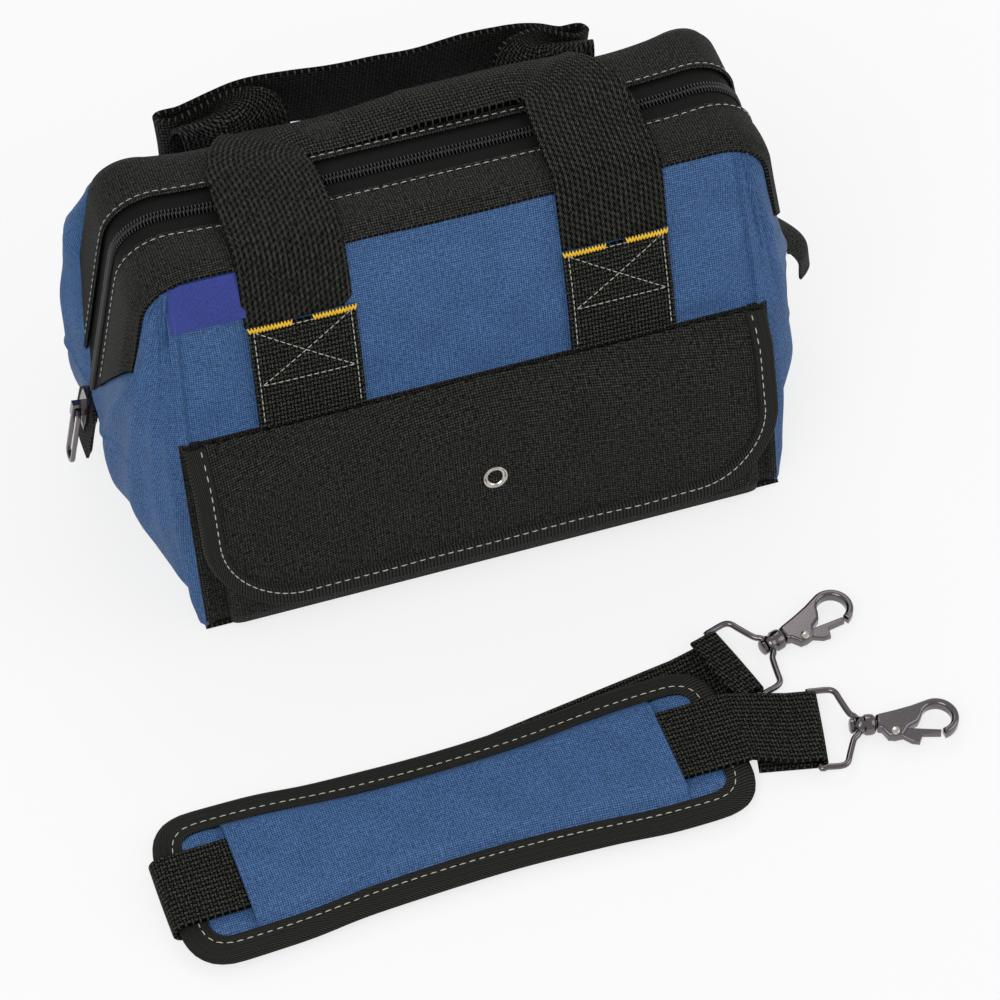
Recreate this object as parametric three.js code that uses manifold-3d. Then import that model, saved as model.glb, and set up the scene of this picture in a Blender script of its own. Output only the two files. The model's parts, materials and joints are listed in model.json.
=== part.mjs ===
// A zippered tool bag with two webbing handles, a snapped flap pocket and a loose padded shoulder strap.
// Millimetres, +Z up, -Y is the front. The origin is the centre of the bag's underside.
import * as THREE from 'three';
import { mergeVertices } from 'three/addons/utils/BufferGeometryUtils.js';
import Module from 'manifold-3d';

const wasm = await Module();
wasm.setup();

// Bag body
const baseLength = 284;
const baseDepth = 200;
const seamHeight = 103;
const seamDepth = 140;
const mouthHeight = 186;
const mouthDepth = 84;
const cloth = 2.4;
const seamGap = 0.3;
const boardThickness = 3;
const boardInset = 4;
const baseCorner = 4;

// Mouth: a flat top line, rounded corners and one leg down each end
const mouthCornerSpan = 296;
const mouthCornerRadius = 28;
const zipEndSpan = 344;
const zipEndHeight = 50;
const mouthHingeHeight = 72;
const bandTaperHeight = 130;
const gussetTopHeight = 64;
const gussetTopSpan = 316;
const goreTopHeight = 172;

// Zip
const chainWidth = 2.5;
const chainThickness = 2.4;
const chainSplit = 1.4;
const tapeWidth = 10.5;
const tapeThickness = 1;
const tailHalfWidth = 13;
const tailDrop = 14;
const tailTip = 9;
const tailShoulder = 10;
const tailTopGap = 0.2;
const tailSlit = 2;
const tailThickness = 1.2;
const stopWidth = 7;
const stopLength = 3;
const stopThickness = 1.2;
const frameWire = 3.2;
const frameInset = 7;

// Slider and pull
const sliderLength = 18;
const sliderWidth = 13;
const sliderPlate = 1.4;
const sliderSlot = 3;
const sliderPost = 0.8;
const sliderRest = 3;
const bailWidth = 3.4;
const bailHeight = 5.6;
const bailLength = 8;
const bailEye = 3.4;
const pullLength = 37;
const pullWidth = 10;
const pullWire = 2.2;

// Front pocket and flap, measured along the sloping front wall
const pocketWidth = 262;
const pocketHeight = 82;
const pocketDepth = 10;
const pocketFoot = 5;
const pocketCloth = 1.8;
const flapWidth = 280;
const flapTopInset = 1.3;
const flapFoot = 15;
const flapCorner = 45;
const flapCloth = 2.2;
const bindingWidth = 14;
const bindingThickness = 2.8;
const flapRise = 3.2;
const flapFold = 8;
const flapShoulder = 18;
const flapHem = 0.9;
const snapHeight = 58;
const snapRing = 12.2;
const snapHole = 7;
const snapStud = 4;

// Handles and their sewn ends
const webbing = 50.8;
const webbingThickness = 2.6;
const anchorThickness = 2.2;
const handleSpacing = 150;
const handleFootHeight = 154.4;
const anchorTopHeight = 152;
const handleLeg = 115;
const handleCorner = 40;
const handleClearance = 5.2;
const drapeGap = 2;
const rearReach = 32;

// Blank cloth label
const labelWidth = 35.5;
const labelHeight = 23;
const labelThickness = 0.8;
const labelLeft = -139;
const labelDrop = 5;

// D-rings on the rear wall
const ringSpacing = 244;
const ringTabWidth = 25;
const ringTabThickness = 1.2;
const ringTabTop = 104;
const ringBarHeight = 77;
const ringWire = 3.6;
const ringWidth = 34;
const ringDrop = 24;

// Shoulder strap, lying in front of the bag
const strapWebbing = 38;
const strapThickness = 1.8;
const padX = -64;
const padY = -238;
const padTurn = 1.5;
const padLength = 272;
const padEndWidth = 84;
const padWaistWidth = 73;
const padCorner = 24;
const padThickness = 7.6;
const padBinding = 13;
const padBindingThickness = 5;
const sleeveLength = 205;
const sleeveThickness = 1.4;
const sleeveRoom = 1.5;
const sleeveHem = 3.5;
const strapLift = 2.3;
const upperDoubled = 11;
const lowerDoubled = 28;
const foldInset = 2.8;
const barGap = 0.5;
const wrapLead = 4;

// Snap hooks, measured from the bar that the webbing goes round
const upperHookX = 84;
const upperHookY = -197;
const upperHookTurn = 16;
const lowerHookX = 107;
const lowerHookY = -243;
const lowerHookTurn = -12;
const hookPlane = 5.6;
const hookWire = 3;
const hookLoopWidth = 45.6;
const hookLoopLength = 22;
const barrelRadius = 5;
const barrelLength = 9.3;
const pinRadius = 2.1;
const hookThickness = 5.8;
const hookLength = 67;
const hookRing = 10.3;
const hookRingWire = 3.4;
const gateThickness = 3.2;
const gatePivotX = 36.5;
const gatePivotY = -6.4;
const rivetRadius = 1.3;

const colours = {
  blue: 0x2f5690, black: 0x1c1c1a, webbing: 0x191918, binding: 0x222220, tape: 0x161616,
  chain: 0x202020, gunmetal: 0x4a4546, wire: 0x8a8a8a, board: 0x2b2b2b, label: 0x26407a, ring: 0xb9b6ad,
};
const metals = new Set(['gunmetal', 'wire', 'ring']);

const bag = new THREE.Group();

function piece(parent, name, geometry, colour) {
  const metal = metals.has(colour);
  const material = new THREE.MeshStandardMaterial({
    color: colours[colour], roughness: metal ? 0.35 : 0.9, metalness: metal ? 0.9 : 0,
  });
  const mesh = new THREE.Mesh(geometry, material);
  mesh.name = name;
  parent.add(mesh);
  return mesh;
}

// Geometry helpers

function volumeOf(positions, index) {
  const a = new THREE.Vector3();
  const b = new THREE.Vector3();
  const c = new THREE.Vector3();
  let sum = 0;
  for (let i = 0; i < index.length; i += 3) {
    a.fromArray(positions, 3 * index[i]);
    b.fromArray(positions, 3 * index[i + 1]);
    c.fromArray(positions, 3 * index[i + 2]);
    sum += a.dot(b.cross(c));
  }
  return sum / 6;
}

// A closed thick sheet over a grid of points; offset gives the step from the near face to the far one
function sheet(grid, offset) {
  const rows = grid.length;
  const cols = grid[0].length;
  const near = [];
  const far = [];
  for (let i = 0; i < rows; i++) {
    for (let j = 0; j < cols; j++) {
      const p = grid[i][j];
      const q = p.clone().add(offset(p, i, j));
      near.push(p.x, p.y, p.z);
      far.push(q.x, q.y, q.z);
    }
  }
  const positions = [...near, ...far];
  const index = [];
  const quad = (a, b, c, d) => index.push(a, b, c, a, c, d);
  const n = (i, j) => i * cols + j;
  const f = (i, j) => rows * cols + n(i, j);
  for (let i = 0; i < rows - 1; i++) {
    for (let j = 0; j < cols - 1; j++) {
      quad(n(i, j), n(i, j + 1), n(i + 1, j + 1), n(i + 1, j));
      quad(f(i, j), f(i + 1, j), f(i + 1, j + 1), f(i, j + 1));
    }
    quad(n(i, 0), n(i + 1, 0), f(i + 1, 0), f(i, 0));
    quad(n(i + 1, cols - 1), n(i, cols - 1), f(i, cols - 1), f(i + 1, cols - 1));
  }
  for (let j = 0; j < cols - 1; j++) {
    quad(n(0, j + 1), n(0, j), f(0, j), f(0, j + 1));
    quad(n(rows - 1, j), n(rows - 1, j + 1), f(rows - 1, j + 1), f(rows - 1, j));
  }
  if (volumeOf(positions, index) < 0) {
    index.reverse();
  }
  const geometry = new THREE.BufferGeometry();
  geometry.setAttribute('position', new THREE.Float32BufferAttribute(positions, 3));
  geometry.setIndex(index);
  geometry.computeVertexNormals();
  return geometry;
}

function toSolid(geometry) {
  const bare = geometry.clone();
  bare.deleteAttribute('normal');
  bare.deleteAttribute('uv');
  const merged = mergeVertices(bare, 1e-4);
  const vertProperties = new Float32Array(merged.attributes.position.array);
  const triVerts = new Uint32Array(merged.index.array);
  return new wasm.Manifold(new wasm.Mesh({ numProp: 3, vertProperties, triVerts }));
}

function fromSolid(solid) {
  const mesh = solid.getMesh();
  const geometry = new THREE.BufferGeometry();
  geometry.setAttribute('position', new THREE.Float32BufferAttribute(mesh.vertProperties, 3));
  geometry.setIndex(new THREE.Uint32BufferAttribute(mesh.triVerts, 1));
  geometry.computeVertexNormals();
  return geometry;
}

function cut(geometry, ...tools) {
  let solid = toSolid(geometry);
  for (const tool of tools) {
    solid = solid.subtract(toSolid(tool));
  }
  return fromSolid(solid);
}

function join(geometry, ...others) {
  let solid = toSolid(geometry);
  for (const other of others) {
    solid = solid.add(toSolid(other));
  }
  return fromSolid(solid);
}

function box(x0, x1, y0, y1, z0, z1) {
  const geometry = new THREE.BoxGeometry(x1 - x0, y1 - y0, z1 - z0);
  return geometry.translate((x0 + x1) / 2, (y0 + y1) / 2, (z0 + z1) / 2);
}

function cylinderX(radius, x0, x1, sides = 20) {
  const geometry = new THREE.CylinderGeometry(radius, radius, x1 - x0, sides);
  return geometry.rotateZ(-Math.PI / 2).translate((x0 + x1) / 2, 0, 0);
}

function cylinderZ(radius, x, y, z0, z1, sides = 16) {
  const geometry = new THREE.CylinderGeometry(radius, radius, z1 - z0, sides);
  return geometry.rotateX(Math.PI / 2).translate(x, y, (z0 + z1) / 2);
}

function shapeOf(points) {
  return new THREE.Shape(points.map(([x, y]) => new THREE.Vector2(x, y)));
}

// A plate with softened edges, centred on z = 0
function plate(shape, thickness, bevel = 0, curveSegments = 8) {
  const geometry = new THREE.ExtrudeGeometry(shape, {
    depth: thickness - 2 * bevel, bevelEnabled: bevel > 0, bevelThickness: bevel,
    bevelSize: bevel, bevelOffset: -bevel, bevelSegments: 1, curveSegments,
  });
  return geometry.translate(0, 0, bevel - thickness / 2);
}

// Turns an outline in (y, z), extruded along its third axis, so that the extrusion runs along X
function alongX(geometry) {
  const turn = new THREE.Matrix4().makeBasis(
    new THREE.Vector3(0, 1, 0), new THREE.Vector3(0, 0, 1), new THREE.Vector3(1, 0, 0));
  return geometry.applyMatrix4(turn);
}

// The outline of a bent strip of cloth: its points are one face, and the thickness is added on its left
function bentStrip(points, thickness) {
  const outer = points.map((p, i) => {
    const before = points[Math.max(i - 1, 0)];
    const after = points[Math.min(i + 1, points.length - 1)];
    const run = new THREE.Vector2(after[0] - before[0], after[1] - before[1]).normalize();
    return [p[0] - run.y * thickness, p[1] + run.x * thickness];
  });
  return shapeOf([...points, ...outer.reverse()]);
}

function roundedRect(width, height, radius) {
  const x = width / 2;
  const y = height / 2;
  const shape = new THREE.Shape();
  shape.moveTo(-x + radius, -y);
  shape.lineTo(x - radius, -y);
  shape.absarc(x - radius, -y + radius, radius, -Math.PI / 2, 0, false);
  shape.lineTo(x, y - radius);
  shape.absarc(x - radius, y - radius, radius, 0, Math.PI / 2, false);
  shape.lineTo(-x + radius, y);
  shape.absarc(-x + radius, y - radius, radius, Math.PI / 2, Math.PI, false);
  shape.lineTo(-x, -y + radius);
  shape.absarc(-x + radius, -y + radius, radius, Math.PI, 1.5 * Math.PI, false);
  return shape;
}

// Outer shape of the bag

const lerp = THREE.MathUtils.lerp;
const wallFoot = cloth + seamGap;
const panelHalf = baseLength / 2 - cloth - seamGap;
const lowerLean = Math.atan((baseDepth - seamDepth) / 2 / seamHeight);
const upperLean = Math.atan((seamDepth - mouthDepth) / 2 / (mouthHeight - seamHeight));

// Half the depth of the bag at a height
function wallY(z) {
  if (z < seamHeight) {
    return lerp(baseDepth, seamDepth, z / seamHeight) / 2;
  }
  return lerp(seamDepth, mouthDepth, (z - seamHeight) / (mouthHeight - seamHeight)) / 2;
}

// The mouth line on the +X side, by its length h from the middle of the top
const legLean = Math.atan((zipEndSpan - mouthCornerSpan) / 2 / (mouthHeight - zipEndHeight));
const cornerTurn = Math.PI / 2 - legLean;
const topHalf = mouthCornerSpan / 2 - mouthCornerRadius * Math.tan(cornerTurn / 2);
const cornerEnd = topHalf + mouthCornerRadius * cornerTurn;

function mouthLine(h) {
  const turn = Math.min(Math.max(h - topHalf, 0) / mouthCornerRadius, cornerTurn);
  const leg = Math.max(h - cornerEnd, 0);
  return {
    x: Math.min(h, topHalf) + mouthCornerRadius * Math.sin(turn) + leg * Math.sin(legLean),
    z: mouthHeight - mouthCornerRadius * (1 - Math.cos(turn)) - leg * Math.cos(legLean),
    nx: Math.sin(turn),
    nz: Math.cos(turn),
  };
}

function lengthAtHeight(z) {
  const corner = mouthLine(cornerEnd);
  if (z > corner.z) {
    const drop = 1 - (mouthHeight - z) / mouthCornerRadius;
    return topHalf + mouthCornerRadius * Math.acos(Math.min(Math.max(drop, -1), 1));
  }
  return cornerEnd + (corner.z - z) / Math.cos(legLean);
}

const taperSlope = (bandTaperHeight - mouthHingeHeight) / (mouthDepth / 2);
const taperStart = (y) => mouthHingeHeight + seamGap + y * taperSlope;

// A strip of the mouth from y0 to y1, from the lower edge of one leg over the top to the other
function mouthStrip(front, y0, y1, top, thickness) {
  const legSteps = 4;
  const cornerSteps = 5;
  const grid = [];
  const normals = [];
  const station = (x, steps) => steps.map((at) => {
    const p = mouthLine(at);
    return { x: x * p.x, z: p.z, nx: x * p.nx, nz: p.nz };
  });
  const half = (x, y) => {
    const start = lengthAtHeight(taperStart(y));
    const steps = [];
    for (let i = 0; i < legSteps; i++) {
      steps.push(lerp(start, cornerEnd, i / legSteps));
    }
    for (let i = 0; i < cornerSteps; i++) {
      steps.push(lerp(cornerEnd, topHalf, i / cornerSteps));
    }
    steps.push(topHalf);
    return station(x, steps);
  };
  const columns = [y0, y1].map((y) => [...half(-1, y), ...half(1, y).reverse()]);
  for (let i = 0; i < columns[0].length; i++) {
    grid.push(columns.map((column, j) => {
      const p = column[i];
      return new THREE.Vector3(p.x + p.nx * top, front * (j === 0 ? y0 : y1), p.z + p.nz * top);
    }));
    normals.push(columns.map((column) => column[i]));
  }
  return sheet(grid, (p, i, j) => new THREE.Vector3(
    -normals[i][j].nx * thickness, 0, -normals[i][j].nz * thickness));
}

// The middle plane of the zip, and how far out the end of the bag stands at its middle, by height: the
// cloth passes behind the resting slider, meets the inner face of the zip tail at its top and joins the leg
const zipMiddle = -cloth / 2;
const legX = (z) => mouthLine(lengthAtHeight(z)).x;
const behindLeg = (z, depth) => legX(z) + depth / Math.cos(legLean);
const sliderTop = zipEndHeight + (sliderRest + sliderLength) * Math.cos(legLean);
const behindSlider = sliderTop - 0.8;
const tailSeat = mouthHingeHeight - 0.5;
const legJoin = mouthHingeHeight + 4;
const endRidge = [
  [0, baseLength / 2],
  [gussetTopHeight, gussetTopSpan / 2],
  [behindSlider, behindLeg(behindSlider, zipMiddle - sliderSlot / 2 - sliderPlate - 2 * seamGap)],
  [tailSeat, behindLeg(tailSeat, zipMiddle - tailThickness / 2 - seamGap)],
  [legJoin, legX(legJoin)],
];

function endMiddle(z) {
  for (let i = 1; i < endRidge.length; i++) {
    const [z0, x0] = endRidge[i - 1];
    const [z1, x1] = endRidge[i];
    if (z <= z1) {
      return lerp(x0, x1, (z - z0) / (z1 - z0));
    }
  }
  return legX(z);
}

// Where the end cloth begins beside the mouth band, by height
function goreInner(z) {
  return Math.min(Math.max((z - mouthHingeHeight) / taperSlope + 1, seamGap / 2), mouthDepth / 2 + seamGap);
}

function endX(y, z, inner) {
  const share = Math.min((Math.abs(y) - inner) / Math.max(wallY(z) - inner, 0.001), 1);
  return lerp(endMiddle(z), baseLength / 2, Math.max(share, 0));
}

function basePanel() {
  const geometry = plate(roundedRect(baseLength, baseDepth, baseCorner), cloth);
  return geometry.translate(0, 0, cloth / 2);
}

function baseBoard() {
  const inset = 2 * (cloth + boardInset);
  const geometry = plate(roundedRect(baseLength - inset, baseDepth - inset, baseCorner), boardThickness);
  return geometry.translate(0, 0, wallFoot + boardThickness / 2);
}

// One flat wall of cloth on the front (-1) or rear (1), its outer face on the bag's outer shape
function wall(side, heights, halfWidths) {
  const grid = heights.map((z, i) => [-1, -0.5, 0, 0.5, 1].map(
    (u) => new THREE.Vector3(u * halfWidths[i], side * wallY(z), z)));
  return sheet(grid, () => new THREE.Vector3(0, -side * cloth, 0));
}

const lowerHeights = [wallFoot, seamHeight - seamGap / 2];
const upperTop = mouthHeight - cloth - seamGap;
const upperHeights = [seamHeight + seamGap / 2, goreTopHeight, upperTop];

function gusset(end) {
  const grid = [0, 0.34, 0.67, 1].map((t) => {
    const z = lerp(wallFoot, gussetTopHeight - seamGap / 2, t);
    return [-1, -0.66, -0.33, 0, 0.33, 0.66, 1].map((u) => {
      const y = u * wallY(z);
      return new THREE.Vector3(end * endX(y, z, 0), y, z);
    });
  });
  return sheet(grid, () => new THREE.Vector3(-end * cloth, 0, 0));
}

function gore(end, side) {
  const low = gussetTopHeight + seamGap / 2;
  const heights = [low, behindSlider, tailSeat, legJoin, lerp(legJoin, bandTaperHeight, 0.4),
    bandTaperHeight, (bandTaperHeight + goreTopHeight) / 2, goreTopHeight];
  const grid = heights.map((z) => {
    const inner = goreInner(z);
    return [0, 0.5, 1].map((t) => {
      const y = lerp(inner, wallY(z), t);
      return new THREE.Vector3(end * endX(y, z, inner), side * y, z);
    });
  });
  return sheet(grid, () => new THREE.Vector3(-end * cloth, 0, 0));
}

piece(bag, 'base_panel', basePanel(), 'black');
piece(bag, 'base_board', baseBoard(), 'board');
for (const [side, name] of [[-1, 'front'], [1, 'rear']]) {
  piece(bag, `${name}_lower_panel`, wall(side, lowerHeights, [panelHalf, panelHalf]), 'black');
  piece(bag, `${name}_upper_panel`, wall(side, upperHeights, [panelHalf, panelHalf, topHalf]), 'blue');
}
for (const [end, name] of [[-1, 'left'], [1, 'right']]) {
  piece(bag, `${name}_gusset`, gusset(end), 'blue');
  piece(bag, `${name}_front_gore`, gore(end, -1), 'blue');
  piece(bag, `${name}_rear_gore`, gore(end, 1), 'blue');
}

// Mouth bands, zip tape, zip chain and the wire frames in the bands' hems

const chainInner = chainSplit / 2;
const tapeInner = chainInner + chainWidth + seamGap;
const bandInner = tapeInner + tapeWidth + seamGap;

class MouthWirePath extends THREE.Curve {
  constructor(low, depth) {
    super();
    this.low = low;
    this.depth = depth;
    this.half = lengthAtHeight(low);
  }

  getPoint(t) {
    const at = (2 * t - 1) * this.half;
    const p = mouthLine(Math.abs(at));
    const x = p.x + p.nx * this.depth;
    return new THREE.Vector3(Math.sign(at) * x, 0, p.z + p.nz * this.depth);
  }
}

// A wire bent to the mouth line, under the band
function frameWireRod(side) {
  const ring = new THREE.Shape().absarc(0, 0, frameWire / 2, 0, 2 * Math.PI, false);
  const y = mouthDepth / 2 - frameInset;
  const path = new MouthWirePath(taperStart(y) + frameWire, -cloth - seamGap - frameWire / 2);
  const geometry = new THREE.ExtrudeGeometry(ring, { steps: 34, extrudePath: path, curveSegments: 4 });
  return geometry.translate(0, side * y, 0);
}

for (const [side, name] of [[-1, 'front'], [1, 'rear']]) {
  const band = mouthStrip(side, bandInner, mouthDepth / 2, 0, cloth);
  const tapeTop = zipMiddle + tapeThickness / 2;
  const tape = mouthStrip(side, tapeInner, tapeInner + tapeWidth, tapeTop, tapeThickness);
  const chainTop = zipMiddle + chainThickness / 2;
  const chain = mouthStrip(side, chainInner, chainInner + chainWidth, chainTop, chainThickness);
  piece(bag, `${name}_band`, band, 'black');
  piece(bag, `${name}_zip_tape`, tape, 'tape');
  piece(bag, `${name}_zip_chain`, chain, 'chain');
  piece(bag, `${name}_frame_wire`, frameWireRod(side), 'wire');
}

// Zip ends: a group at each end, x outward from the bag, y across and z up the leg

function zipEndGroup(end) {
  const group = new THREE.Group();
  group.position.set(end * zipEndSpan / 2, 0, zipEndHeight);
  group.rotation.set(0, -legLean, end < 0 ? Math.PI : 0, 'ZYX');
  bag.add(group);
  return group;
}

// The metal stop ends a little below the slider's rest, and the tail's slit just above the stop
const stopTop = sliderRest - 2;

// The cloth tail under the hinge of the mouth, slit up the middle where the slider's post runs
function zipTail() {
  const slit = tailSlit / 2;
  const top = (mouthHingeHeight - zipEndHeight) / Math.cos(legLean) - tailTopGap;
  const side = [[slit, top], [tailHalfWidth, top - tailShoulder], [tailHalfWidth, -0.45 * tailDrop],
    [tailTip, -tailDrop]];
  const otherSide = side.map(([y, z]) => [-y, z]).reverse();
  const outline = [...side, ...otherSide, [-slit, stopTop + 1], [slit, stopTop + 1]];
  const geometry = plate(shapeOf(outline), tailThickness);
  return alongX(geometry).translate(zipMiddle, 0, 0);
}

function endStop() {
  const x = zipMiddle + tailThickness / 2 + seamGap;
  return box(x, x + stopThickness, -stopWidth / 2, stopWidth / 2, stopTop - stopLength, stopTop);
}

const leftEnd = zipEndGroup(-1);
const rightEnd = zipEndGroup(1);
for (const [group, name] of [[leftEnd, 'left'], [rightEnd, 'right']]) {
  piece(group, `${name}_zip_tail`, zipTail(), 'black');
  piece(group, `${name}_zip_stop`, endStop(), 'gunmetal');
}

const plateInner = zipMiddle + sliderSlot / 2;
const plateOuter = plateInner + sliderPlate;

function sliderBody() {
  const low = sliderRest;
  const high = sliderRest + sliderLength;
  const w = sliderWidth / 2;
  const outline = shapeOf([
    [-w * 0.8, low], [w * 0.8, low], [w, low + 0.22 * sliderLength],
    [w * 0.72, high - 0.17 * sliderLength], [w * 0.5, high], [-w * 0.5, high],
    [-w * 0.72, high - 0.17 * sliderLength], [-w, low + 0.22 * sliderLength]]);
  const make = (x) => alongX(plate(outline, sliderPlate)).translate(x, 0, 0);
  const outerPlate = make(plateInner + sliderPlate / 2);
  const innerPlate = make(zipMiddle - sliderSlot / 2 - sliderPlate / 2);
  const reach = sliderSlot / 2 + sliderPlate / 2;
  const post = box(zipMiddle - reach, zipMiddle + reach, -sliderPost / 2, sliderPost / 2, low + 0.5, low + 5);
  const bail = sliderBail();
  return join(outerPlate, innerPlate, post, bail);
}

const bailMiddle = sliderRest + sliderLength * 0.45;
const pullPivot = plateOuter + bailHeight / 2;

// The arch on the slider that holds the pull
function sliderBail() {
  const top = plateOuter + bailHeight;
  const geometry = box(plateInner + sliderPlate / 2, top, -bailWidth / 2, bailWidth / 2,
    bailMiddle - bailLength / 2, bailMiddle + bailLength / 2);
  const eye = box(pullPivot - bailEye / 2, pullPivot + bailEye / 2, -bailWidth, bailWidth,
    bailMiddle - bailEye / 2, bailMiddle + bailEye / 2);
  return cut(geometry, eye);
}

function sliderPull() {
  const outer = roundedRect(pullWidth, pullLength, pullWidth / 2 - 0.5);
  const holeWidth = pullWidth - 2 * pullWire;
  const inner = roundedRect(holeWidth, pullLength - 2 * pullWire, holeWidth / 2 - 0.5);
  outer.holes.push(inner);
  const geometry = alongX(plate(outer, pullWire, 0.5, 4));
  return geometry.translate(pullPivot, 0, bailMiddle + pullWire / 2 - pullLength / 2);
}

piece(leftEnd, 'slider_body', sliderBody(), 'gunmetal');
piece(leftEnd, 'slider_pull', sliderPull(), 'gunmetal');

// Front pocket and flap, in a group whose z runs up the sloping lower wall and whose -y points out of it

function wallGroup(side, low, lean) {
  const group = new THREE.Group();
  group.position.set(0, side * wallY(low), low);
  group.rotation.set(side * lean, 0, side > 0 ? Math.PI : 0, 'XYZ');
  bag.add(group);
  return group;
}

const frontWall = wallGroup(-1, 0, lowerLean);
const frontUpperWall = wallGroup(-1, seamHeight, upperLean);
const rearWall = wallGroup(1, 0, lowerLean);
const rearUpperWall = wallGroup(1, seamHeight, upperLean);

function frontPocket() {
  const w = pocketWidth / 2;
  const face = -seamGap;
  const shell = box(-w, w, face - pocketDepth, face, pocketFoot, pocketFoot + pocketHeight);
  const room = box(-w + pocketCloth, w - pocketCloth, face - pocketDepth + pocketCloth, 1,
    pocketFoot + pocketCloth, pocketFoot + pocketHeight + 1);
  return cut(shell, room);
}

const flapTop = seamHeight / Math.cos(lowerLean) - flapTopInset;
const pocketFace = seamGap + pocketDepth;
const flapFace = pocketFace + flapRise;

// The gap between the wall and the inner face of the flap, by height up the wall
function flapGap(w) {
  const bends = [[flapFoot, flapFace - flapHem], [snapHeight, flapFace],
    [flapTop - flapShoulder, 0.9 * flapFace], [flapTop - flapFold, 0.52 * flapFace], [flapTop, 2 * seamGap]];
  for (let i = 1; i < bends.length; i++) {
    if (w <= bends[i][0] || i === bends.length - 1) {
      const [w0, d0] = bends[i - 1];
      const [w1, d1] = bends[i];
      return lerp(d0, d1, (w - w0) / (w1 - w0));
    }
  }
  return 0;
}

const flapPoint = (x, w) => new THREE.Vector3(x, -flapGap(w), w);
const flapRows = [flapTop, flapTop - flapFold, flapTop - flapShoulder, lerp(snapHeight, flapTop, 0.33)];

// Half the width of the flap's outline at a height, drawn in by an inset
function flapHalf(w, inset) {
  const radius = flapCorner - inset;
  const start = flapFoot + flapCorner;
  const down = Math.min(Math.max(start - w, 0), radius);
  return flapWidth / 2 - inset - radius + Math.sqrt(radius * radius - down * down);
}

function pocketFlap() {
  const inset = bindingWidth + seamGap;
  const corner = [0, 15, 30, 45, 60, 75, 90].map(
    (a) => flapFoot + flapCorner - (flapCorner - inset) * Math.sin(THREE.MathUtils.degToRad(a)));
  const rows = [...flapRows, ...corner];
  const grid = rows.map((w) => [-1, -0.5, 0, 0.5, 1].map((u) => flapPoint(u * flapHalf(w, inset), w)));
  return sheet(grid, () => new THREE.Vector3(0, -flapCloth, 0));
}

function flapBinding() {
  const turn = [0, 15, 30, 45, 60, 75, 90].map((a) => THREE.MathUtils.degToRad(a));
  const straight = flapRows.map((w) => ({ x: 1, w, a: 0 }));
  const right = [...straight, ...turn.map((a) => ({ x: 1, w: null, a }))];
  const left = right.map((s) => ({ ...s, x: -1 })).reverse();
  const point = (s, inset) => {
    const radius = flapCorner - inset;
    const middleX = flapWidth / 2 - flapCorner;
    const x = s.w === null ? middleX + radius * Math.cos(s.a) : flapWidth / 2 - inset;
    const w = s.w === null ? flapFoot + flapCorner - radius * Math.sin(s.a) : s.w;
    return flapPoint(s.x * x, w);
  };
  const grid = [...right, ...left].map((s) => [point(s, 0), point(s, bindingWidth)]);
  return sheet(grid, () => new THREE.Vector3(0, -bindingThickness, 0));
}

// A round piece on the front wall at the snap, from one distance out of the wall to another
function snapDisc(radius, near, far, hole = 0) {
  const profile = [[hole, -far], [radius, -far], [radius, -near], [hole, -near]];
  if (hole > 0) {
    profile.push(profile[0]);
  }
  const geometry = new THREE.LatheGeometry(profile.map(([x, y]) => new THREE.Vector2(x, y)), 24);
  return geometry.translate(0, 0, snapHeight);
}

function snapEyelet() {
  const face = flapFace + flapCloth + seamGap;
  return snapDisc(snapRing / 2, face, face + 1.1, snapHole / 2);
}

function snapSocket() {
  return snapDisc(snapRing / 2 - 1, flapFace - seamGap - 1.2, flapFace - seamGap, snapStud / 2 + 0.6);
}

function snapStudPiece() {
  const plateDisc = snapDisc(snapRing / 2 - 1, pocketFace + seamGap, pocketFace + seamGap + 0.8);
  const nub = snapDisc(snapStud / 2, pocketFace + seamGap + 0.4, flapFace - seamGap - 0.2);
  return join(plateDisc, nub);
}

piece(frontWall, 'front_pocket', frontPocket(), 'black');
piece(frontWall, 'pocket_flap', pocketFlap(), 'black');
piece(frontWall, 'flap_binding', flapBinding(), 'binding');
piece(frontWall, 'flap_eyelet', snapEyelet(), 'ring');
piece(frontWall, 'snap_socket', snapSocket(), 'gunmetal');
piece(frontWall, 'snap_stud', snapStudPiece(), 'gunmetal');

// Handles: a webbing loop laid along a bent profile

const upWall = (z) => (z - seamHeight) / Math.cos(upperLean);

function anchor(x) {
  const low = upWall(seamHeight) + seamGap;
  const high = upWall(anchorTopHeight);
  return box(x - webbing / 2, x + webbing / 2, -seamGap - anchorThickness, -seamGap, low, high);
}

function profileAt(curve, length, v) {
  const t = THREE.MathUtils.clamp(v / length, 0, 1);
  const p = curve.getPointAt(t);
  const run = curve.getTangentAt(t);
  return { p: p.addScaledVector(run, Math.max(v - length, 0)), run };
}

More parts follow.
